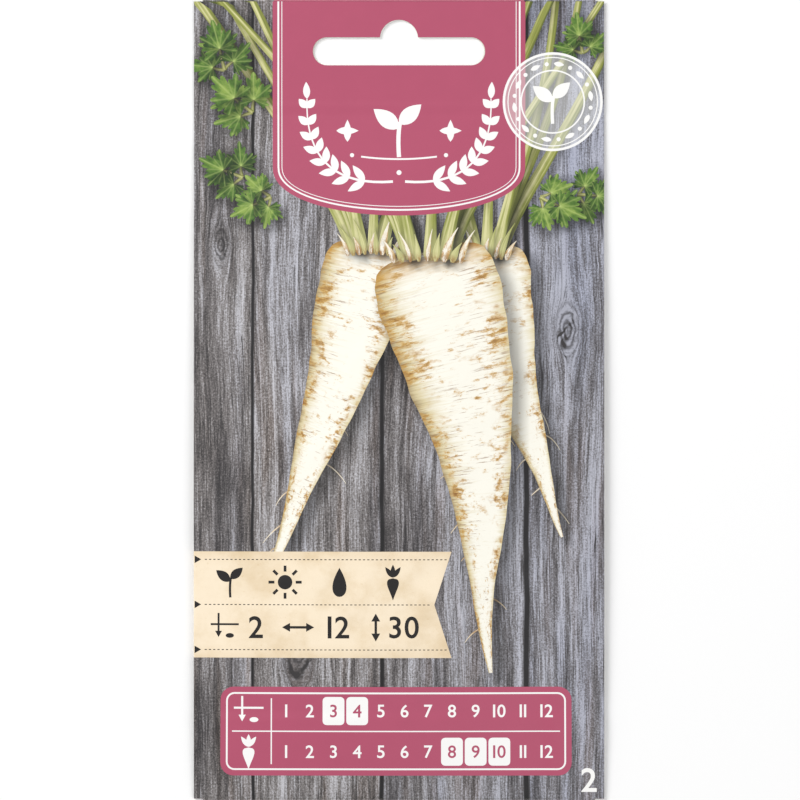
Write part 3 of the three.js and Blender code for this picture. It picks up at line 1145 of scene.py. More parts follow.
@dataclass(frozen=True)
class NameLabel:
    """The cream label: dotted rules, signs and plain numbers instead of words."""

    left: float = -43.0
    right: float = 10.4
    low: float = -51.4
    high: float = -30.2
    notch: float = 3.4
    rules: tuple[float, ...] = (-31.8, -40.8, -49.8)

    def outline(self) -> Points:
        """Returns the outline, with a notch in its right end."""
        middle = (self.low + self.high) / 2
        corners = ((self.left, self.low), (self.right, self.low), (self.right - self.notch, middle),
                   (self.right, self.high), (self.left, self.high))
        return np.array(corners)

    def rim(self, points: Points) -> Points:
        """Charts how near points are to the label's long edges and its notched end."""
        x, y = points[:, 0], points[:, 1]
        edge = np.minimum(np.minimum(y - self.low, self.high - y), self.right - x)
        return np.column_stack((1 - smoothstep(0.0, 3.0, edge), np.zeros((len(points), 2))))

    def dots(self, y: float) -> list[Area]:
        """Draws one dotted rule."""
        pitch, length, thick = 0.85, 0.45, 0.17
        box = np.array(((0, 0), (length, 0), (length, thick), (0, thick)))
        end = self.right - 1.3 - self.notch * (1 - abs(y + 40.8) / 9.0)
        return [fill(box + (x, y - thick / 2), Ink.DARK) for x in np.arange(-38.6, end, pitch)]

    def areas(self, digits: Digits) -> list[Area]:
        """Returns the label's printed areas."""
        signs = Pictograms(Ink.DARK)
        found = [Area((self.outline(),), Ink.CREAM, self.rim)]
        for y in self.rules:
            found += self.dots(y)
            found.append(fill(np.array(((-40.6, y - 0.75), (-39.3, y), (-40.6, y + 0.75))), Ink.DARK))
        upper, lower = -36.3, -45.3
        found += signs.sprout(-33.5, upper, 6.2)
        found += signs.sun(-22.6, upper, 6.6)
        found += signs.drop(-11.8, upper, 6.2)
        found += signs.root(-1.2, upper, 6.8)
        found += signs.ground(-34.6, lower, 5.6)
        found.append(digits.write("2", -28.4, lower, 4.4, Ink.DARK))
        found += signs.arrow((-23.2, lower), (-16.8, lower), 0.5, True)
        found.append(digits.write("12", -12.0, lower, 4.4, Ink.DARK))
        found += signs.arrow((-4.6, lower + 2.8), (-4.6, lower - 2.8), 0.5, True)
        found.append(digits.write("30", 1.0, lower, 4.4, Ink.DARK))
        return found


@dataclass(frozen=True)
class MonthPanel:
    """A panel of months as plain numbers, with one row to sow in and one to harvest in."""

    low: Place
    high: Place
    ground: Ink
    line: Ink
    sow: tuple[int, ...] = (3, 4)
    harvest: tuple[int, ...] = (8, 9, 10)
    sign_width: float = 9.0
    border: float = 1.1

    def areas(self, digits: Digits) -> list[Area]:
        """Returns the panel's printed areas."""
        (x0, y0), (x1, y1) = self.low, self.high
        b = self.border

        def frame(inset: float, radius: float) -> Points:
            """Returns the panel's outline, moved inwards."""
            return rounded_box((x0 + inset, y0 + inset), (x1 - inset, y1 - inset), radius)

        middle = (y0 + y1) / 2
        split = x0 + b + self.sign_width
        found = [
            fill(frame(0.0, 2.6), self.ground),
            ring(frame(b, 1.7), frame(b + 0.35, 1.35), self.line),
            stroke(np.array(((x0 + b + 1.2, middle), (x1 - b - 1.2, middle))), 0.25, self.line),
            stroke(np.array(((split, y0 + b + 1.2), (split, y1 - b - 1.2))), 0.25, self.line),
        ]
        signs = Pictograms(self.line)
        size = (y1 - y0) / 2 - b - 1.4
        upper, lower = middle + (y1 - y0) / 4 - b / 3, middle - (y1 - y0) / 4 + b / 3
        found += signs.ground(x0 + b + self.sign_width / 2, upper, size * 0.92)
        found += signs.root(x0 + b + self.sign_width / 2, lower, size * 1.05)
        pitch = (x1 - b - 1.2 - split - 0.9) / 12
        for row, months in ((upper, self.sow), (lower, self.harvest)):
            for month in range(1, 13):
                x = split + 0.6 + (month - 0.5) * pitch
                ink = self.line
                if month in months:
                    low = (x - pitch * 0.46, row - size * 0.44)
                    high = (x + pitch * 0.46, row + size * 0.44)
                    found.append(fill(rounded_box(low, high, 0.8, 4), self.line))
                    ink = self.ground
                found.append(digits.write(str(month), x, row, size * 0.40, ink))
        return found


@dataclass(frozen=True)
class TapRoot:
    """A pictured root, from the middle of its crown to its tip."""

    crown: Place
    tip: Place
    bend: float
    half_width: float
    tone: float
    length_profile: tuple[float, ...] = (0, 0.006, 0.02, 0.05, 0.1, 0.2, 0.35, 0.5, 0.65, 0.78, 0.88, 0.95, 1)
    width_profile: tuple[float, ...] = (
        0.5, 0.68, 0.84, 0.95, 1.0, 0.93, 0.75, 0.56, 0.36, 0.2, 0.11, 0.06, 0.02
    )

    def ribbon(self) -> Ribbon:
        """Returns the root as a strip, with a wavy skin and a thin tail."""
        rng = np.random.default_rng(int(self.tone * 1000))
        t = np.linspace(0, 1, 84) ** 1.25
        crown, tip = np.array(self.crown), np.array(self.tip)
        ahead = tip - crown
        side = np.array((-ahead[1], ahead[0])) / np.linalg.norm(ahead)
        sway = self.bend * np.sin(math.pi * t) + 1.3 * t**3 * np.sin(9 * t + self.tone * 20)
        line = crown + t[:, None] * ahead + sway[:, None] * side
        width = np.interp(t, self.length_profile, self.width_profile) * self.half_width
        phases = rng.uniform(0, 2 * math.pi, 4)
        wave = sum(np.sin(t * f + p) / k for k, (f, p) in enumerate(zip((19, 34, 61, 97), phases), 1))
        return Ribbon(line, width * (1 + 0.022 * wave) + 0.10)

    def rootlets(self) -> list[Area]:
        """Returns the fine side roots."""
        rng = np.random.default_rng(int(self.tone * 777))
        body = self.ribbon()
        found = []
        for place in (0.52, 0.61, 0.7, 0.78, 0.86, 0.92):
            row = int(place * (len(body.line) - 1))
            side = rng.choice((-1, 1))
            foot = body.line[row] + (side * body.half_width[row] * 0.7, 0)
            reach = rng.uniform(2.0, 5.2)
            mid = foot + (side * reach * 0.55, -reach * rng.uniform(0.0, 0.5))
            end = mid + (side * reach * rng.uniform(0.1, 0.5), -reach * rng.uniform(0.3, 0.9))
            line = bezier((foot, mid, end), 9)
            strip = Ribbon(line, np.linspace(0.2, 0.05, len(line)))
            found.append(strip.area(Ink.ROOT, self.tone, (0.3, 0.5, (0.3, -0.3))))
        return found

    def areas(self) -> list[Area]:
        """Returns the root's printed areas."""
        return [*self.rootlets(), self.ribbon().area(Ink.ROOT, self.tone, (0.66, 2.6, (1.5, -1.1)))]


@dataclass(frozen=True)
class Stalk:
    """A pictured leaf stalk, as the control points of its curve."""

    path: tuple[Place, ...]
    half_width: float
    tone: float

    def areas(self) -> list[Area]:
        """Returns the stalk's printed areas."""
        line = bezier(self.path, 26)
        along = np.linspace(0, 1, len(line))
        width = self.half_width * (1.12 - 0.5 * along) * (0.4 + 0.6 * smoothstep(0, 0.06, along))
        return [Ribbon(line, width).area(Ink.STALK, self.tone, (0.5, 1.3, (0.8, -0.6)))]


@dataclass(frozen=True)
class ParsleyLeaf:
    """A pictured leaf of nine leaflets in three groups."""

    foot: Place
    heading: float
    size: float
    tone: float

    @staticmethod
    def leaflet_outline(rng: np.random.Generator) -> Points:
        """Returns a toothed three-lobed outline, one unit long, with its foot at the origin."""
        points = [(0.0, 0.0)]
        for lobe, length in ((-50.0, 0.80), (0.0, 1.0), (50.0, 0.80)):
            spread = 16.0 if lobe == 0.0 else 17.0
            length *= rng.uniform(0.94, 1.05)
            for tooth, reach in ((-spread, 0.82), (0.0, 1.0), (spread, 0.82)):
                tip = length * reach * rng.uniform(0.96, 1.04)
                for turn, share in ((-6.2, 0.88), (-3.4, 0.965), (0.0, 1.0), (3.4, 0.965), (6.2, 0.88)):
                    points.append(polar(lobe + tooth + turn, tip * share))
                if tooth < spread:
                    points.append(polar(lobe + tooth + spread * 0.5, length * 0.755))
            if lobe < 50.0:
                points.append(polar(lobe + 25.0, 0.47))
        return np.array(points)

    def leaflet(self, foot: Points, heading: float, size: float, rng: np.random.Generator) -> Area:
        """Returns one leaflet.

        Args:
            foot: Where it starts.
            heading: Which way it points, in degrees clockwise from up.
            size: Its length.
            rng: Draws its small differences.
        """
        c, s = math.cos(math.radians(heading)), math.sin(math.radians(heading))
        turn = np.array(((c, -s), (s, c)))
        width = rng.uniform(0.82, 1.0)
        outline = (self.leaflet_outline(rng) * (width, 1.0)) @ turn * size + foot
        tone = float(np.clip(self.tone + rng.uniform(-0.2, 0.2), 0, 1))

        def chart(points: Points) -> Points:
            """Charts points on the leaflet."""
            local = (points - foot) @ turn.T / size
            return np.column_stack((local[:, 0] / width, local[:, 1], np.full(len(points), tone)))

        middle = foot + np.array((0.0, 0.5)) @ turn * size
        shadow = dot_shadow(middle[0] + 0.7, middle[1] - 0.6, size * 0.5, 0.5, size * 0.28)
        return Area((outline,), Ink.LEAF, chart, shadow)

    def areas(self) -> list[Area]:
        """Returns the leaf's printed areas: thin stems, then the leaflets from the back to the front."""
        rng = np.random.default_rng(int(self.size * 100 + self.tone * 1000 + 50 + self.heading))
        foot = np.array(self.foot)
        stems: list[Area] = []
        leaflets: list[Area] = []
        groups = ((-58.0, 0.34, 0.86), (58.0, 0.34, 0.86), (0.0, 0.62, 1.0))
        for turn, reach, scale in groups:
            heading = self.heading + turn + rng.uniform(-9, 9)
            joint = foot + np.array(polar(heading, self.size * reach))
            line = bezier((foot, (foot + joint) / 2 + rng.uniform(-0.3, 0.3, 2), joint), 7)
            strip = Ribbon(line, np.linspace(0.36, 0.24, len(line)))
            stems.append(strip.area(Ink.STALK, 0.4, (0.3, 0.6, (0.4, -0.3)), 8.0))
            for side, share in ((-62.0, 0.66), (62.0, 0.66), (0.0, 0.86)):
                angle = heading + side + rng.uniform(-8, 8)
                leaflets.append(self.leaflet(joint, angle, self.size * share * scale, rng))
        return stems + leaflets


@dataclass(frozen=True)
class RootPicture:
    """The picture: a bunch of three roots with their tops, laid on the boards."""

    roots: tuple[TapRoot, ...] = (
        TapRoot((-5.6, 31.0), (-27.5, -36.0), 2.2, 8.6, 0.31),
        TapRoot((17.0, 30.2), (33.6, -27.0), -2.4, 8.2, 0.74),
        TapRoot((5.6, 29.6), (17.5, -54.5), 3.6, 12.6, 0.52),
    )

    def stalks(self, root: TapRoot, number: int) -> list[Area]:
        """Fans the stalks out of a root's crown."""
        rng = np.random.default_rng(70 + number)
        x, y = root.crown
        reach = root.half_width * 0.42
        ends = ((-47, -38, -30, 27), (30, 36, 48, -24), (-41, -33, -27, 26, 33, 43))[number]
        found = []
        for order, end in enumerate(sorted(ends, key=abs, reverse=True)):
            start = x + reach * (0.85 * end / 45) + rng.uniform(-0.6, 0.6)
            rise = rng.uniform(53, 64)
            path = ((start, y - 1.6), (start + end * 0.05, y + 9), (x + end * 0.42, y + rise * 0.45),
                    (end + rng.uniform(-2, 2), y + rise))
            found += Stalk(path, rng.uniform(0.95, 1.35), 0.2 + 0.13 * order).areas()
        for offset in (-0.5, 0.1, 0.62):
            start = x + reach * offset
            path = ((start, y - 1.8), (start + offset * 2, y + 5), (start + offset * 6, y + 14))
            found += Stalk(path, rng.uniform(1.0, 1.5), rng.uniform(0.0, 0.4)).areas()
        for offset in np.linspace(-1.25, 1.25, 9):
            start = x + reach * offset
            lean = offset * 24 + rng.uniform(-14, 14)
            rise = rng.uniform(3.2, 7.2)
            foot = (start, y - 1.9 - abs(offset) * 0.35)
            top = (start + polar(lean, rise)[0], y - 1.9 + rise)
            line = bezier((foot, (start + polar(lean * 0.3, rise * 0.5)[0], y - 1.9 + rise * 0.5), top), 8)
            shape = np.array((0.45, 0.85, 1.0, 1.0, 0.85, 0.62, 0.42, 0.22, 0.06))
            scale = Ribbon(line, rng.uniform(0.4, 0.8) * shape)
            ink = (Ink.STALK, Ink.ROOT)[len(found) % 2]
            found.append(Area((scale.outline(),), ink, scale.chart(rng.uniform(0, 1)),
                              scale.shadow(0.4, 0.7, (0.35, -0.25))))
        return found

    def leaves(self) -> list[Area]:
        """Returns the leaves at both sides of the tab."""
        places = (
            ((-34.5, 66.0), -14.0, 7.0, 0.55), ((-31.0, 44.5), -66.0, 6.6, 0.7),
            ((36.3, 69.4), -12.0, 5.6, 0.6),
            ((35.5, 41.0), 96.0, 6.2, 0.62), ((-29.0, 57.5), -48.0, 7.4, 0.3),
            ((28.0, 40.5), 118.0, 6.8, 0.28),
            ((-25.5, 40.6), -112.0, 6.2, 0.42),
        )
        found = []
        for foot, heading, size, tone in places:
            found += ParsleyLeaf(foot, heading, size, tone).areas()
        return found

    def areas(self) -> list[Area]:
        """Returns the picture's printed areas, from the back to the front."""
        found: list[Area] = []
        for number, root in enumerate(self.roots):
            found += root.areas()
            found += self.stalks(root, number)
        return found + self.leaves()


# --------------------------------------------------------------------------------------------------
# The folded packet


@dataclass(frozen=True)
class Packet:
    """The packet's driving sizes in millimetres, and the heights that its panels follow."""

    width: float = 82.0
    height: float = 160.0
    paper: float = 0.15
    glue_gap: float = 0.06
    crease_cut: float = 0.04
    top_flap: float = 20.0
    bottom_flap: float = 15.0
    flap_inset: float = 1.8
    flap_taper: float = 2.4
    seam_flap: float = 10.5
    seam_setback: float = 0.9
    crown: float = 3.0
    crease_lift: float = 0.85
    crease_open: float = 0.5
    flat_back: float = 27.0
    profile_power: float = 1.35
    slot_length: float = 34.1
    slot_height: float = 5.6
    slot_bump: float = 3.8
    slot_bump_drop: float = 0.3
    slot_bottom: float = 13.1
    face: float = 40.4  # half width of the flat artwork between its side creases
    wrap: float = 1.1  # how far the artwork runs round a crease

    @property
    def layer(self) -> float:
        """What one more glued layer adds to the stack."""
        return self.paper + self.glue_gap

    @property
    def half_width(self) -> float:
        """From the middle to a side crease."""
        return self.width / 2

    @property
    def half_height(self) -> float:
        """From the middle to the front panel's end, without the end folds."""
        return self.height / 2 - (3 * self.paper + 2 * self.glue_gap) / 2 - self.crease_cut

    @property
    def header_y(self) -> float:
        """Where the glued header starts."""
        return self.half_height - self.top_flap

    @property
    def bottom_flap_y(self) -> float:
        """Where the bottom flap ends."""
        return self.bottom_flap - self.half_height

    @property
    def seam_edge(self) -> float:
        """Where the flap under the seam ends."""
        return self.half_width - self.seam_flap

    def fullness(self, y: Points) -> Points:
        """Returns how full the pouch is along its length, 0 to 1."""
        along = np.clip((y + self.half_height) / (self.header_y + self.half_height), 0, 1)
        return np.sin(math.pi * along**0.82).clip(0) ** 0.9

    def back_height(self, x: Points, y: Points) -> Points:
        """Returns the height of the back panel's printed side."""
        over_top = smoothstep(self.header_y - 3, self.header_y - 0.5, y)
        over_bottom = 1 - smoothstep(self.bottom_flap_y + 0.5, self.bottom_flap_y + 3, y)
        outside = np.maximum(0, np.abs(x) - self.flat_back) / (self.half_width - self.flat_back)
        lift = self.crease_lift * self.fullness(y) * outside**1.6
        return self.layer * np.maximum(over_top, over_bottom) + lift

    def crease(self, side: int, y: Points) -> tuple[Points, Points]:
        """Returns the lowest and highest height of the paper round a side crease."""
        under = self.back_height(np.full(len(y), side * self.half_width), y) + (self.layer if side > 0 else 0)
        return under, under + 2 * self.paper + self.glue_gap + self.crease_open * self.fullness(y)

    def relief(self, x: Points, y: Points) -> Points:
        """Returns the small dents and buckles of a filled packet that has been handled."""
        full = self.fullness(y)
        edge = np.clip(1 - np.abs(x) / self.face, 0, 1)
        seeds = np.clip(1 - (x / 33) ** 2 - ((y + 24) / 52) ** 2, 0, 1)
        lumps = sum(np.sin(x * a + y * b + c) for a, b, c in
                    ((0.62, 0.21, 0.4), (-0.35, 0.55, 1.9), (0.15, -0.74, 3.3),
                     (0.81, -0.42, 5.0), (-0.5, -0.3, 2.2)))
        buckles = np.sin(y * 0.31 + 1.2 * np.sin(y * 0.083) + 0.05 * x) * np.exp(-((edge - 0.16) / 0.13) ** 2)
        pull = np.sin(x * 0.24 + 0.7) * np.exp(-((y - self.header_y + 7) / 7.5) ** 2)
        pull = pull * smoothstep(0, 0.3, edge)
        relief = LUMP_HEIGHT * lumps * seeds + BUCKLE_HEIGHT * buckles
        return full * smoothstep(0, 0.12, edge) * relief + PULL_HEIGHT * full * pull

    def front_height(self, x: Points, y: Points) -> Points:
        """Returns the height of the front panel's printed side."""
        over_flap = smoothstep(self.seam_edge - 2.5, self.seam_edge + 0.5, x)
        base = self.crease(-1, y)[1] * (1 - over_flap) + self.crease(1, y)[1] * over_flap
        across = np.minimum(1, np.abs(x) / self.face)
        swell = self.crown * self.fullness(y) * (1 - across**2) ** self.profile_power
        return base + swell + self.relief(x, y)

    def slot_outline(self) -> Points:
        """Returns the hanging slot's outline: a round-ended slot with a bump over its middle."""
        end = self.slot_height / 2
        reach = self.slot_length / 2 - end
        middle = self.height / 2 - self.slot_bottom + end
        bump_y = middle + end - self.slot_bump_drop
        meet = math.asin(self.slot_bump_drop / self.slot_bump)
        points = []
        for x, y, radius, start, stop in (
            (-reach, middle, end, math.pi / 2, 1.5 * math.pi),
            (reach, middle, end, -math.pi / 2, math.pi / 2),
            (0.0, bump_y, self.slot_bump, meet, math.pi - meet),
        ):
            for angle in np.linspace(start, stop, 19):
                points.append((x + radius * math.cos(angle), y + radius * math.sin(angle)))
        return np.array(points)


class Fold:
    """Turns flat places on a panel, with a depth under its printed side, into places on the folded packet."""

    def __init__(self, packet: Packet) -> None:
        """Keeps the packet that the panel belongs to."""
        self.packet = packet

    def surface(self, flat: Points) -> Points:
        """Returns where flat places of the printed side come to lie."""
        raise NotImplementedError

    def normals(self, flat: Points) -> Points:
        """Returns which way the printed side faces."""
        step = 0.01
        east, north = np.array((step, 0.0)), np.array((0.0, step))
        across = self.surface(flat + east) - self.surface(flat - east)
        along = self.surface(flat + north) - self.surface(flat - north)
        normal = np.cross(across, along)
        return normal / np.linalg.norm(normal, axis=1)[:, None]

    def place(self, points: Points) -> Points:
        """Folds points whose third number is their height over the printed side."""
        flat = points[:, :2]
        return self.surface(flat) + self.normals(flat) * points[:, 2:]


class FrontFold(Fold):
    """The front panel: a pillow between two half-round side creases."""

    def surface(self, flat: Points) -> Points:
        """Returns where flat places of the front come to lie."""
        p = self.packet
        s, y = flat[:, 0], flat[:, 1]
        side = np.where(s < 0, -1.0, 1.0)
        right = s > 0
        under = np.where(right, p.crease(1, y)[0], p.crease(-1, y)[0])
        top = np.where(right, p.crease(1, y)[1], p.crease(-1, y)[1])
        radius = (top - under) / 2
        edge = p.half_width - radius
        turn = math.pi * np.maximum(0, np.abs(s) - p.face) / p.wrap
        x = np.where(np.abs(s) > p.face, side * (edge + radius * np.sin(turn)), s * edge / p.face)
        z = np.where(np.abs(s) > p.face, (top + under) / 2 + radius * np.cos(turn), p.front_height(s, y))
        return np.column_stack((x, y, z))


class BackFold(Fold):
    """The back panel and the flap under its seam, drawn as a reader of the back sees them."""

    def __init__(self, packet: Packet, raised: float = 0.0) -> None:
        """Keeps how far over the back panel's printed side this sheet lies."""
        super().__init__(packet)
        self.raised = raised

    def surface(self, flat: Points) -> Points:
        """Returns where flat places of the back come to lie."""
        p = self.packet
        x, y = -flat[:, 0], flat[:, 1]
        side = 1 if self.raised else -1
        under, top = p.crease(side, y)
        edge = p.half_width - (top - under) / 2 - p.crease_cut
        widest = p.half_width - (2 * p.paper + p.glue_gap) / 2 - p.crease_cut
        pull = smoothstep(25.0, widest, x * side) * (widest - edge)
        z = p.back_height(x, y) + self.raised
        return np.column_stack((x - side * pull, y, z))


class FlapFold(Fold):
    """A flap folded off one end of the front and under the back panel."""

    arc = 1.2  # how much of the flat flap goes round the fold

    def __init__(self, packet: Packet, end: int) -> None:
        """Keeps the end: 1 is the top, -1 the bottom."""
        super().__init__(packet)
        self.end = end

    def surface(self, flat: Points) -> Points:
        """Returns where flat places of the flap come to lie."""
        p = self.packet
        x = flat[:, 0]
        run = self.end * flat[:, 1]
        tops = p.front_height(x * p.face / p.half_width, np.full(len(x), self.end * p.half_height))
        radius = tops / 2
        turn = math.pi * np.clip(run / self.arc, 0, 1)
        fold = p.half_height + p.crease_cut
        past = np.maximum(0, run - self.arc)
        y = self.end * (fold + radius * np.sin(turn) - past)
        z = radius + radius * np.cos(turn)
        return np.column_stack((x, y, z))


@dataclass
class PrintedSheet:
    """One panel of the blank: cut along its printed areas, given its thickness, and folded."""

    name: str
    outline: Points
    base: Ink
    fold: Fold
    slot: str
    areas: list[Area] = field(default_factory=list)
    holes: list[Points] = field(default_factory=list)
    grid: float = 1.25
    columns: tuple[float, ...] = ()
    rows: tuple[float, ...] = ()

    def lattice(self, taken: Points) -> Points:
        """Returns the points between the outlines, clear of the ones that the outlines have.

        Args:
            taken: The outlines' own points.
        """
        low, high = self.outline.min(0), self.outline.max(0)
        xs = np.union1d(np.arange(low[0] + self.grid, high[0] - self.grid * 0.5, self.grid), self.columns)
        ys = np.union1d(np.arange(low[1] + self.grid, high[1] - self.grid * 0.5, self.grid), self.rows)
        grid = np.array(np.meshgrid(xs, ys)).reshape(2, -1).T
        cell = self.grid * 0.32
        busy = {tuple(spot) for spot in np.round(taken / cell).astype(int)}
        free = [tuple(spot) not in busy for spot in np.round(grid / cell).astype(int)]
        fine = np.isin(grid[:, 0], self.columns) | np.isin(grid[:, 1], self.rows)
        return grid[np.array(free) | fine]

    def cut(self) -> tuple[Points, list[tuple[int, ...]], list[list[int]]]:
        """Cuts the panel along every outline.

        Returns:
            Flat places, triangles, and for each triangle the numbers of the outlines that hold it.
        """
        outlines = [self.outline, *self.holes, *(loop for area in self.areas for loop in area.outlines)]
        low, high = self.outline.min(0), self.outline.max(0)
        outlines = [with_short_edges(anticlockwise(np.clip(loop, low, high)), self.grid) for loop in outlines]
        points = np.vstack(outlines)
        faces, start = [], 0
        for loop in outlines:
            faces.append(list(range(start, start + len(loop))))
            start += len(loop)
        bends = [((x, low[1]), (x, high[1])) for x in self.columns]
        bends += [((low[0], y), (high[0], y)) for y in self.rows]
        ends = np.array(bends).reshape(-1, 2)
        edges = [(start + 2 * number, start + 2 * number + 1) for number in range(len(bends))]
        points = np.vstack((points, ends, self.lattice(points)))
        cut = delaunay_2d_cdt([Vector(p) for p in points], edges, faces, 0, 1e-4, True)
        places = np.array([tuple(v) for v in cut[0]])
        return places, [tuple(face) for face in cut[2]], [list(owner) for owner in cut[5]]

    def sort(self, owners: list[list[int]]) -> tuple[Points, Points, Points]:
        """Finds what each triangle shows.

        Args:
            owners: For each triangle, the numbers of the outlines that hold it.

        Returns:
            For each triangle, whether it is kept, the number of its area, or -1 for the base, and its veil.
        """
        owner_area = [-1] + [-2] * len(self.holes)
        for number, area in enumerate(self.areas):
            owner_area += [number] * len(area.outlines)
        kept, shown, veils = [], [], []
        for held_by in owners:
            count: dict[int, int] = {}
            for outline in held_by:
                count[owner_area[outline]] = count.get(owner_area[outline], 0) + 1
            inside = [number for number, times in count.items() if times % 2 and number >= 0]
            inked = max((n for n in inside if self.areas[n].ink is not None), default=-1)
            veil = max((self.areas[n].veil for n in inside if n > inked), default=0.0)
            kept.append(count.get(-1, 0) % 2 == 1 and -2 not in count)
            shown.append(inked)
            veils.append(veil)
        return np.array(kept), np.array(shown), np.array(veils)

    def shades(self, places: Points, corners: Points, shown: Points) -> tuple[Points, Points]:
        """Works out the chart and the drawn shadow at every corner.

        Args:
            places: Flat places.
            corners: Triangles, as numbers of places.
            shown: Each triangle's area.

        Returns:
            Per triangle and corner, its chart and how dark it is.
        """
        chart = np.zeros((*corners.shape, 3))
        dark = np.zeros(corners.shape)
        for number in np.unique(shown):
            mine = shown == number
            used, back = np.unique(corners[mine], return_inverse=True)
            spots = places[used]
            if number >= 0:
                chart[mine] = self.areas[number].chart(spots)[back].reshape(-1, 3, 3)
            light = np.ones(len(spots))
            for area in self.areas[number + 1:]:
                if area.shadow is not None:
                    light *= 1 - area.shadow(spots)
            dark[mine] = 1 - light[back].reshape(-1, 3)
        return chart, dark

    def build(self, materials: dict[Ink, bpy.types.Material], raw: bpy.types.Material) -> bpy.types.Object:
        """Makes the piece.

        Args:
            materials: Each ink's material.
            raw: The uncoated side's material.

        Returns:
            The finished object; Envelope.build sets it on the packet's body.
        """
        places, faces, owners = self.cut()
        kept, shown, veils = self.sort(owners)
        corners = np.array(faces)[kept]
        shown, veils = shown[kept], veils[kept]
        inks = [self.base if number < 0 else self.areas[number].ink for number in shown]
        order = sorted(set(inks), key=lambda ink: ink.name)
        mesh = bpy.data.meshes.new(self.name)
        mesh.from_pydata([(x, y, 0.0) for x, y in places], [], corners.tolist())
        piece = bpy.data.objects.new(self.name, mesh)
        bpy.context.collection.objects.link(piece)
        for ink in order:
            mesh.materials.append(materials[ink])
        mesh.materials.append(raw)
        mesh.polygons.foreach_set("material_index", [order.index(ink) for ink in inks])
        chart, dark = self.shades(places, corners, shown)
        light = np.stack((dark, np.repeat(veils[:, None], 3, axis=1), np.zeros(dark.shape)), axis=2)
        for name, values in ((CHART, chart), (LIGHT, light)):
            mesh.attributes.new(name, "FLOAT_VECTOR", "CORNER").data.foreach_set("vector", values.ravel())
        self.thicken(piece, len(order))
        self.fold_up(piece)
        return piece

    def thicken(self, piece: bpy.types.Object, inks: int) -> None:
        """Gives the flat panel the paper's thickness, on the side away from the print."""
        bpy.ops.object.select_all(action="DESELECT")
        piece.select_set(True)
        bpy.context.view_layer.objects.active = piece
        solid = piece.modifiers.new("paper", "SOLIDIFY")
        solid.thickness = self.fold.packet.paper
        solid.offset = -1.0
        solid.material_offset = inks
        solid.material_offset_rim = inks
        bpy.ops.object.modifier_apply(modifier=solid.name)
        bpy.ops.object.mode_set(mode="EDIT")
        bpy.ops.mesh.select_all(action="SELECT")
        bpy.ops.mesh.delete_loose()
        bpy.ops.object.mode_set(mode="OBJECT")

    def fold_up(self, piece: bpy.types.Object) -> None:
        """Folds the panel, and gives both its sides the true direction that they face."""
        mesh = piece.data
        points = np.empty(len(mesh.vertices) * 3)
        mesh.vertices.foreach_get("co", points)
        points = points.reshape(-1, 3)
        mesh.vertices.foreach_set("co", (self.fold.place(points) * MM).ravel())
        mesh.update()
        bpy.ops.object.shade_smooth_by_angle(angle=math.radians(40))
        normals = self.fold.normals(points[:, :2])
        printed = points[:, 2] > -self.fold.packet.paper / 2
        vertex = np.empty(len(mesh.loops), int)
        mesh.loops.foreach_get("vertex_index", vertex)
        corner = np.zeros((len(mesh.loops), 3))
        for polygon in mesh.polygons:
            rows = slice(polygon.loop_start, polygon.loop_start + polygon.loop_total)
            sides = printed[vertex[rows]]
            if sides.all():
                corner[rows] = normals[vertex[rows]]
            elif not sides.any():
                corner[rows] = -normals[vertex[rows]]
            else:
                corner[rows] = polygon.normal
        mesh.normals_split_custom_set(corner.tolist())


# --------------------------------------------------------------------------------------------------
# Pieces


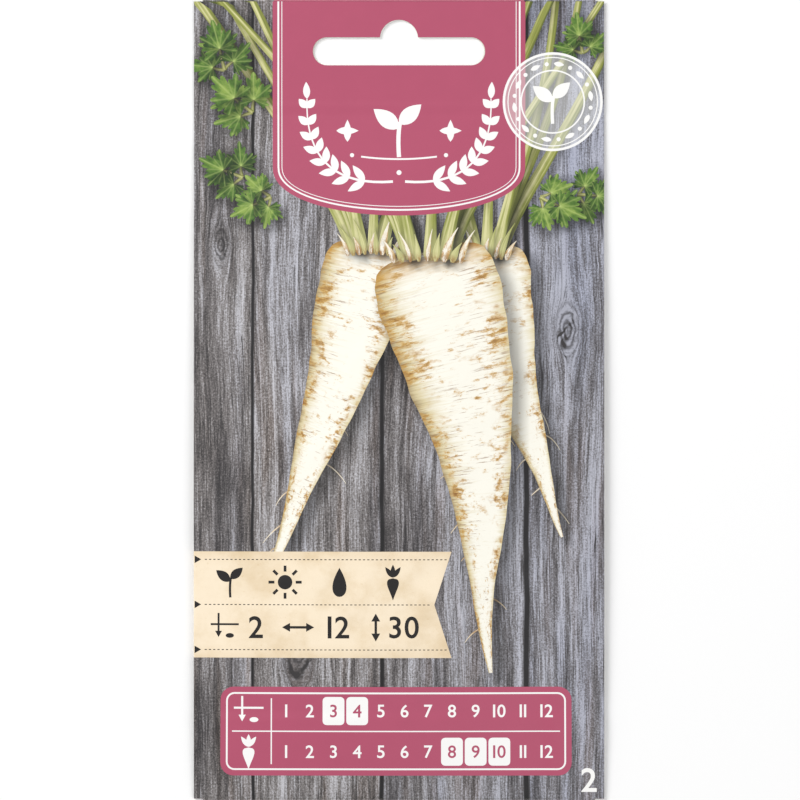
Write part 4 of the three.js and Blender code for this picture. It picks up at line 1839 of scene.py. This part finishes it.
@dataclass
class Envelope:
    """The folded and glued paper, panel by panel."""

    packet: Packet = field(default_factory=Packet)
    digits: Digits = field(default_factory=lambda: Digits(0.012))

    def front(self) -> PrintedSheet:
        """Lays out the front panel."""
        p = self.packet
        half = p.face + p.wrap
        outline = np.array(((-half, -p.half_height), (half, -p.half_height), (half, p.half_height),
                            (-half, p.half_height)))
        areas = [
            *RootPicture().areas(),
            *HeaderTab().areas(),
            *RoundStamp().areas(),
            *NameLabel().areas(self.digits),
            *MonthPanel((-35.4, -75.0), (34.2, -57.2), Ink.PINK, Ink.WHITE).areas(self.digits),
            self.digits.write("2", 37.6, -75.9, 4.8, Ink.WHITE),
        ]
        shares = np.linspace(0, 0.84, 6)
        round_crease = tuple(side * (p.face + p.wrap * share) for side in (-1, 1) for share in shares)
        starts = (p.header_y - 3, p.bottom_flap_y + 0.5)
        bends = tuple(float(y) for start in starts for y in np.linspace(start, start + 2.5, 6))
        return PrintedSheet("front_panel", outline, Ink.BOARDS, FrontFold(p), "printed_paper", areas,
                            [p.slot_outline()], columns=round_crease, rows=bends)

    def back(self) -> PrintedSheet:
        """Lays out the back panel: a frame, signs and months in pink on off-white."""
        p = self.packet
        crease = p.half_width - (2 * p.paper + p.glue_gap) / 2 - p.crease_cut
        free = p.half_width - p.seam_setback
        end = p.half_height - 0.9
        outline = np.array(((-free, -end), (crease, -end), (crease, end), (-free, end)))
        signs = Pictograms(Ink.PINK)
        dark = Pictograms(Ink.DARK)
        areas = [
            ring(rounded_box((-37.5, -62.5), (37.5, 57.0), 3.0),
                 rounded_box((-37.1, -62.1), (37.1, 56.6), 2.6), Ink.PINK),
            *signs.root(-20.5, 36.0, 28.0),
            *signs.sprout(24.0, 37.0, 22.0),
            *signs.sun(1.0, 44.0, 13.0),
            *signs.drop(1.0, 28.5, 10.0),
            *MonthPanel((-34.0, -10.5), (34.0, 8.5), Ink.PINK, Ink.BACK).areas(self.digits),
        ]
        for number, x in enumerate((-23.0, 0.0, 23.0), 1):
            box = rounded_box((x - 10, -42.0), (x + 10, -18.5), 2.0)
            inner = rounded_box((x - 9.7, -41.7), (x + 9.7, -18.8), 1.7)
            areas.append(ring(box, inner, Ink.PINK))
            areas.append(fill(ellipse(x - 8.2, -19.9, 2.5, steps=28), Ink.PINK))
            areas.append(self.digits.write(str(number), x - 8.2, -19.9, 2.7, Ink.BACK))
        areas += dark.ground(-23.0, -31.0, 12.5)
        areas.append(stroke(np.array(((-8.0, -34.5), (8.0, -34.5))), 0.6, Ink.DARK))
        areas += dark.sprout(-4.4, -31.6, 6.2) + dark.sprout(4.4, -31.6, 6.2)
        areas += dark.arrow((-4.4, -37.4), (4.4, -37.4), 0.5, True)
        areas += dark.root(23.0, -30.4, 15.5)
        for y in (-48.0, -52.5, -57.0):
            for x in np.arange(-33.0, 33.0, 1.6):
                areas.append(fill(ellipse(x, y, 0.22, steps=8), Ink.DARK))
        slot = [self.slot_from_behind()]
        return PrintedSheet("back_panel", outline, Ink.BACK, BackFold(p), "back_paper", areas, slot,
                            grid=2.0, rows=tuple(np.linspace(p.header_y - 3, p.header_y - 0.5, 6)))

    def slot_from_behind(self) -> Points:
        """Returns the slot's outline on a panel that is drawn as seen from behind."""
        return (self.packet.slot_outline() * (-1, 1))[::-1]

    def seam(self) -> PrintedSheet:
        """Lays out the flap under the back panel's free edge."""
        p = self.packet
        crease = p.half_width - (2 * p.paper + p.glue_gap) / 2 - p.crease_cut
        end = p.half_height - 3.0
        free = -p.seam_edge
        outline = np.array(((-crease, -end), (free, -end + 3.5), (free, end - 3.5), (-crease, end)))
        return PrintedSheet("side_seam_flap", outline, Ink.BACK, BackFold(p, p.layer), "back_paper", grid=2.0)

    def end_flap(self, end: int, name: str, height: float) -> PrintedSheet:
        """Lays out a flap at one end: 1 is the top and -1 the bottom."""
        p = self.packet
        wide = p.half_width - p.flap_inset
        narrow = wide - p.flap_taper
        reach = height + FlapFold.arc
        corners = ((-wide, 0.0), (wide, 0.0), (wide, FlapFold.arc),
                   (narrow, reach - 1.5), (narrow - 1.5, reach),
                   (1.5 - narrow, reach), (-narrow, reach - 1.5), (-wide, FlapFold.arc))
        outline = np.array(corners) * (1, end)
        outline = outline if end > 0 else outline[::-1]
        holes = []
        if end > 0:
            fold = p.half_height + p.crease_cut
            slot = p.slot_outline()
            holes = [np.column_stack((slot[:, 0], fold + FlapFold.arc - slot[:, 1]))]
        line = end * (reach - 1.6)
        bleed = end * (FlapFold.arc + 0.8)
        strip = np.array(((-1, 0), (1, 0), (1, bleed), (-1, bleed)))
        areas = [
            fill(strip * (p.half_width, 1), Ink.BOARDS),
            stroke(np.array(((-narrow + 1.5, line), (narrow - 1.5, line))), 0.4, Ink.WHITE),
        ]
        if end > 0:
            areas.append(fill(strip * (HeaderTab.half_width, 1), Ink.PINK))
        around = tuple(end * y for y in np.linspace(0.2, 1.2, 6))
        fold = FlapFold(p, end)
        return PrintedSheet(name, outline, Ink.PINK, fold, "back_paper", areas, holes, grid=2.0, rows=around)

    def build(self) -> list[bpy.types.Object]:
        """Makes every panel and returns the pieces."""
        materials = {ink: ink.value.paint().material for ink in Ink}
        raw = RawPaper().paint().material
        p = self.packet
        sheets = (
            self.front(), self.back(), self.seam(),
            self.end_flap(1, "top_flap", p.top_flap), self.end_flap(-1, "bottom_flap", p.bottom_flap),
        )
        pieces = []
        for sheet in sheets:
            piece = sheet.build(materials, raw)
            node = sheet.name
            piece.name = f"{node}_paper"
            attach(piece, ROOT_BODY)
            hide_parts(node)
            log.info("%s: %d faces", piece.name, len(piece.data.polygons))
            pieces.append(piece)
        return pieces


@dataclass
class SeedHeap:
    """The loose seeds, each a ribbed crescent of its own size, turn and tone."""

    packet: Packet = field(default_factory=Packet)
    length: float = 2.25
    width: float = 1.15
    depth: float = 0.95
    pitch: float = 2.45
    layer_pitch: float = 0.98
    middle_y: float = -24.0
    reach: Place = (29.0, 43.0)
    ribs: int = 5
    bands: int = 5

    def template(self) -> tuple[Points, list[tuple[int, ...]], Points]:
        """Models one seed.

        Returns:
            Its points, its faces and each point's chart.
        """
        bpy.ops.object.select_all(action="DESELECT")
        bpy.ops.mesh.primitive_uv_sphere_add(segments=self.ribs * 2, ring_count=self.bands, radius=0.5)
        ball = bpy.context.object
        bpy.ops.object.mode_set(mode="EDIT")
        bpy.ops.mesh.select_all(action="SELECT")
        bpy.ops.transform.resize(value=(self.width, self.depth, self.length))
        bpy.ops.object.mode_set(mode="OBJECT")
        points = np.array([v.co for v in ball.data.vertices])
        faces = sorted(self.from_lowest(tuple(p.vertices)) for p in ball.data.polygons)
        turn = np.arctan2(points[:, 1], points[:, 0]) / (2 * math.pi)
        along = points[:, 2] / self.length
        rib = 1 + 0.10 * np.cos(turn * 2 * math.pi * self.ribs)
        taper = 1 - 0.32 * np.clip(along * 2, 0, 1) ** 1.5
        points[:, :2] *= (rib * taper)[:, None]
        points[:, 0] += 0.34 * (along * 2) ** 2 * self.width * 0.5
        bpy.ops.object.delete()
        return points, faces, np.column_stack((turn, along, np.zeros(len(points))))

    @staticmethod
    def from_lowest(face: tuple[int, ...]) -> tuple[int, ...]:
        """Returns a face that starts at its lowest numbered corner, so that every run gives the same one."""
        start = face.index(min(face))
        return face[start:] + face[:start]

    def spots(self, rng: np.random.Generator) -> list[tuple[float, float, float]]:
        """Returns where the seeds lie: in layers, wherever the pouch has room."""
        p = self.packet
        found = []
        clearance = 0.78
        headroom = 1.0
        floor = p.paper + clearance
        for layer in range(4):
            z = floor + layer * self.layer_pitch
            for row, y in enumerate(np.arange(-self.reach[1], self.reach[1], self.pitch * 0.87)):
                shift = (0.5 if (row + layer) % 2 else 0.0) * self.pitch
                for x in np.arange(-self.reach[0], self.reach[0], self.pitch) + shift:
                    spot = np.array(((x, y + self.middle_y),))
                    ceiling = p.front_height(spot[:, 0], spot[:, 1])[0] - p.paper
                    bed = (x / self.reach[0]) ** 2 + (y / self.reach[1]) ** 2
                    if bed < 1 and z + headroom < ceiling:
                        jitter = rng.uniform(-0.16, 0.16, 3) * (1, 1, 0.25)
                        found.append((x + jitter[0], y + self.middle_y + jitter[1], z + jitter[2]))
        return found

    def build(self) -> bpy.types.Object:
        """Makes the heap as one piece."""
        rng = np.random.default_rng(11)
        points, faces, chart = self.template()
        places, polygons, charts = [], [], []
        for x, y, z in self.spots(rng):
            size = rng.uniform(0.86, 1.04)
            turn, lean = rng.uniform(0, 2 * math.pi), rng.uniform(-0.22, 0.22)
            roll = rng.uniform(0, 2 * math.pi)
            c, s = math.cos(roll), math.sin(roll)
            body = points @ np.array(((c, s, 0), (-s, c, 0), (0, 0, 1))) * size
            c, s = math.cos(lean), math.sin(lean)
            body = body[:, (2, 0, 1)] @ np.array(((c, 0, s), (0, 1, 0), (-s, 0, c)))
            c, s = math.cos(turn), math.sin(turn)
            body = body @ np.array(((c, s, 0), (-s, c, 0), (0, 0, 1)))
            start = len(places) * len(points)
            places.append(body + (x, y, z))
            polygons += [tuple(start + v for v in face) for face in faces]
            tone = rng.uniform(0, 1)
            charts.append(chart + (0, 0, tone))
        mesh = bpy.data.meshes.new("seeds")
        mesh.from_pydata((np.vstack(places) * MM).tolist(), [], polygons)
        held = mesh.attributes.new(CHART, "FLOAT_VECTOR", "POINT")
        held.data.foreach_set("vector", np.vstack(charts).ravel())
        mesh.materials.append(SeedCoat().paint().material)
        heap = bpy.data.objects.new("seeds", mesh)
        bpy.context.collection.objects.link(heap)
        bpy.ops.object.select_all(action="DESELECT")
        heap.select_set(True)
        bpy.context.view_layer.objects.active = heap
        bpy.ops.object.shade_smooth()
        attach(heap, ROOT_BODY)
        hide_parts("seed_bed")
        log.info("seeds: %d of them, %d faces", len(places), len(polygons))
        return heap


@dataclass
class Studio:
    """A pale floor, soft light and a camera that looks straight down."""

    frame_height: float = 0.160
    lens: float = 200.0
    sensor: float = 36.0
    floor_side: float = 6.0

    def floor(self) -> bpy.types.Object:
        """Lays the floor."""
        bpy.ops.object.select_all(action="DESELECT")
        bpy.ops.mesh.primitive_plane_add(size=self.floor_side, location=(0, 0, -0.00002))
        floor = bpy.context.object
        floor.name = "studio_floor"
        paint = Paint("studio_floor")
        paint.finish(srgb(252, 252, 252), 0.9)
        floor.data.materials.append(paint.material)
        floor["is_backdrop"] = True
        return floor

    def lamp(self, name: str, place: tuple[float, float, float], size: float, watts: float) -> None:
        """Adds a square soft light that faces the packet."""
        data = bpy.data.lights.new(name, "AREA")
        data.size = size
        data.energy = watts
        lamp = bpy.data.objects.new(name, data)
        lamp.location = place
        lamp.rotation_euler = (-Vector(place)).to_track_quat("-Z", "Y").to_euler()
        bpy.context.collection.objects.link(lamp)

    def build(self) -> None:
        """Sets the stage."""
        scene = bpy.context.scene
        scene.view_settings.view_transform = "Standard"
        world = bpy.data.worlds.new("studio_light")
        world.use_nodes = True
        world.node_tree.nodes["Background"].inputs["Color"].default_value = (1.0, 1.0, 1.0, 1.0)
        world.node_tree.nodes["Background"].inputs["Strength"].default_value = 0.5
        scene.world = world
        self.floor()
        self.lamp("key", (-0.55, 0.45, 0.62), 0.5, 5.6)
        self.lamp("fill", (0.6, -0.35, 0.7), 0.7, 2.7)
        camera = bpy.data.cameras.new("camera")
        camera.lens = self.lens
        camera.sensor_width = self.sensor
        holder = bpy.data.objects.new("camera", camera)
        holder.location = (0.0002, 0.0, self.frame_height * self.lens / self.sensor)
        bpy.context.collection.objects.link(holder)
        scene.camera = holder


def dress_glue(frame: dict[str, Any]) -> None:
    """Gives the four patches of glue their finish."""
    glue = Adhesive().paint().material
    for name, node in frame["nodes"].items():
        if name.endswith("_glue"):
            node.data.materials.clear()
            node.data.materials.append(glue)


def main(frame: dict[str, Any], cad: Any) -> None:
    """Builds the studio and every piece.

    Args:
        frame: The loaded CAD frame.
        cad: Its bounds; not used.
    """
    logging.basicConfig(level=logging.INFO, format="%(name)s: %(message)s")
    Studio().build()
    Envelope().build()
    SeedHeap().build()
    dress_glue(frame)


if __name__ == "__main__":
    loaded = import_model()
    main(loaded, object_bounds())
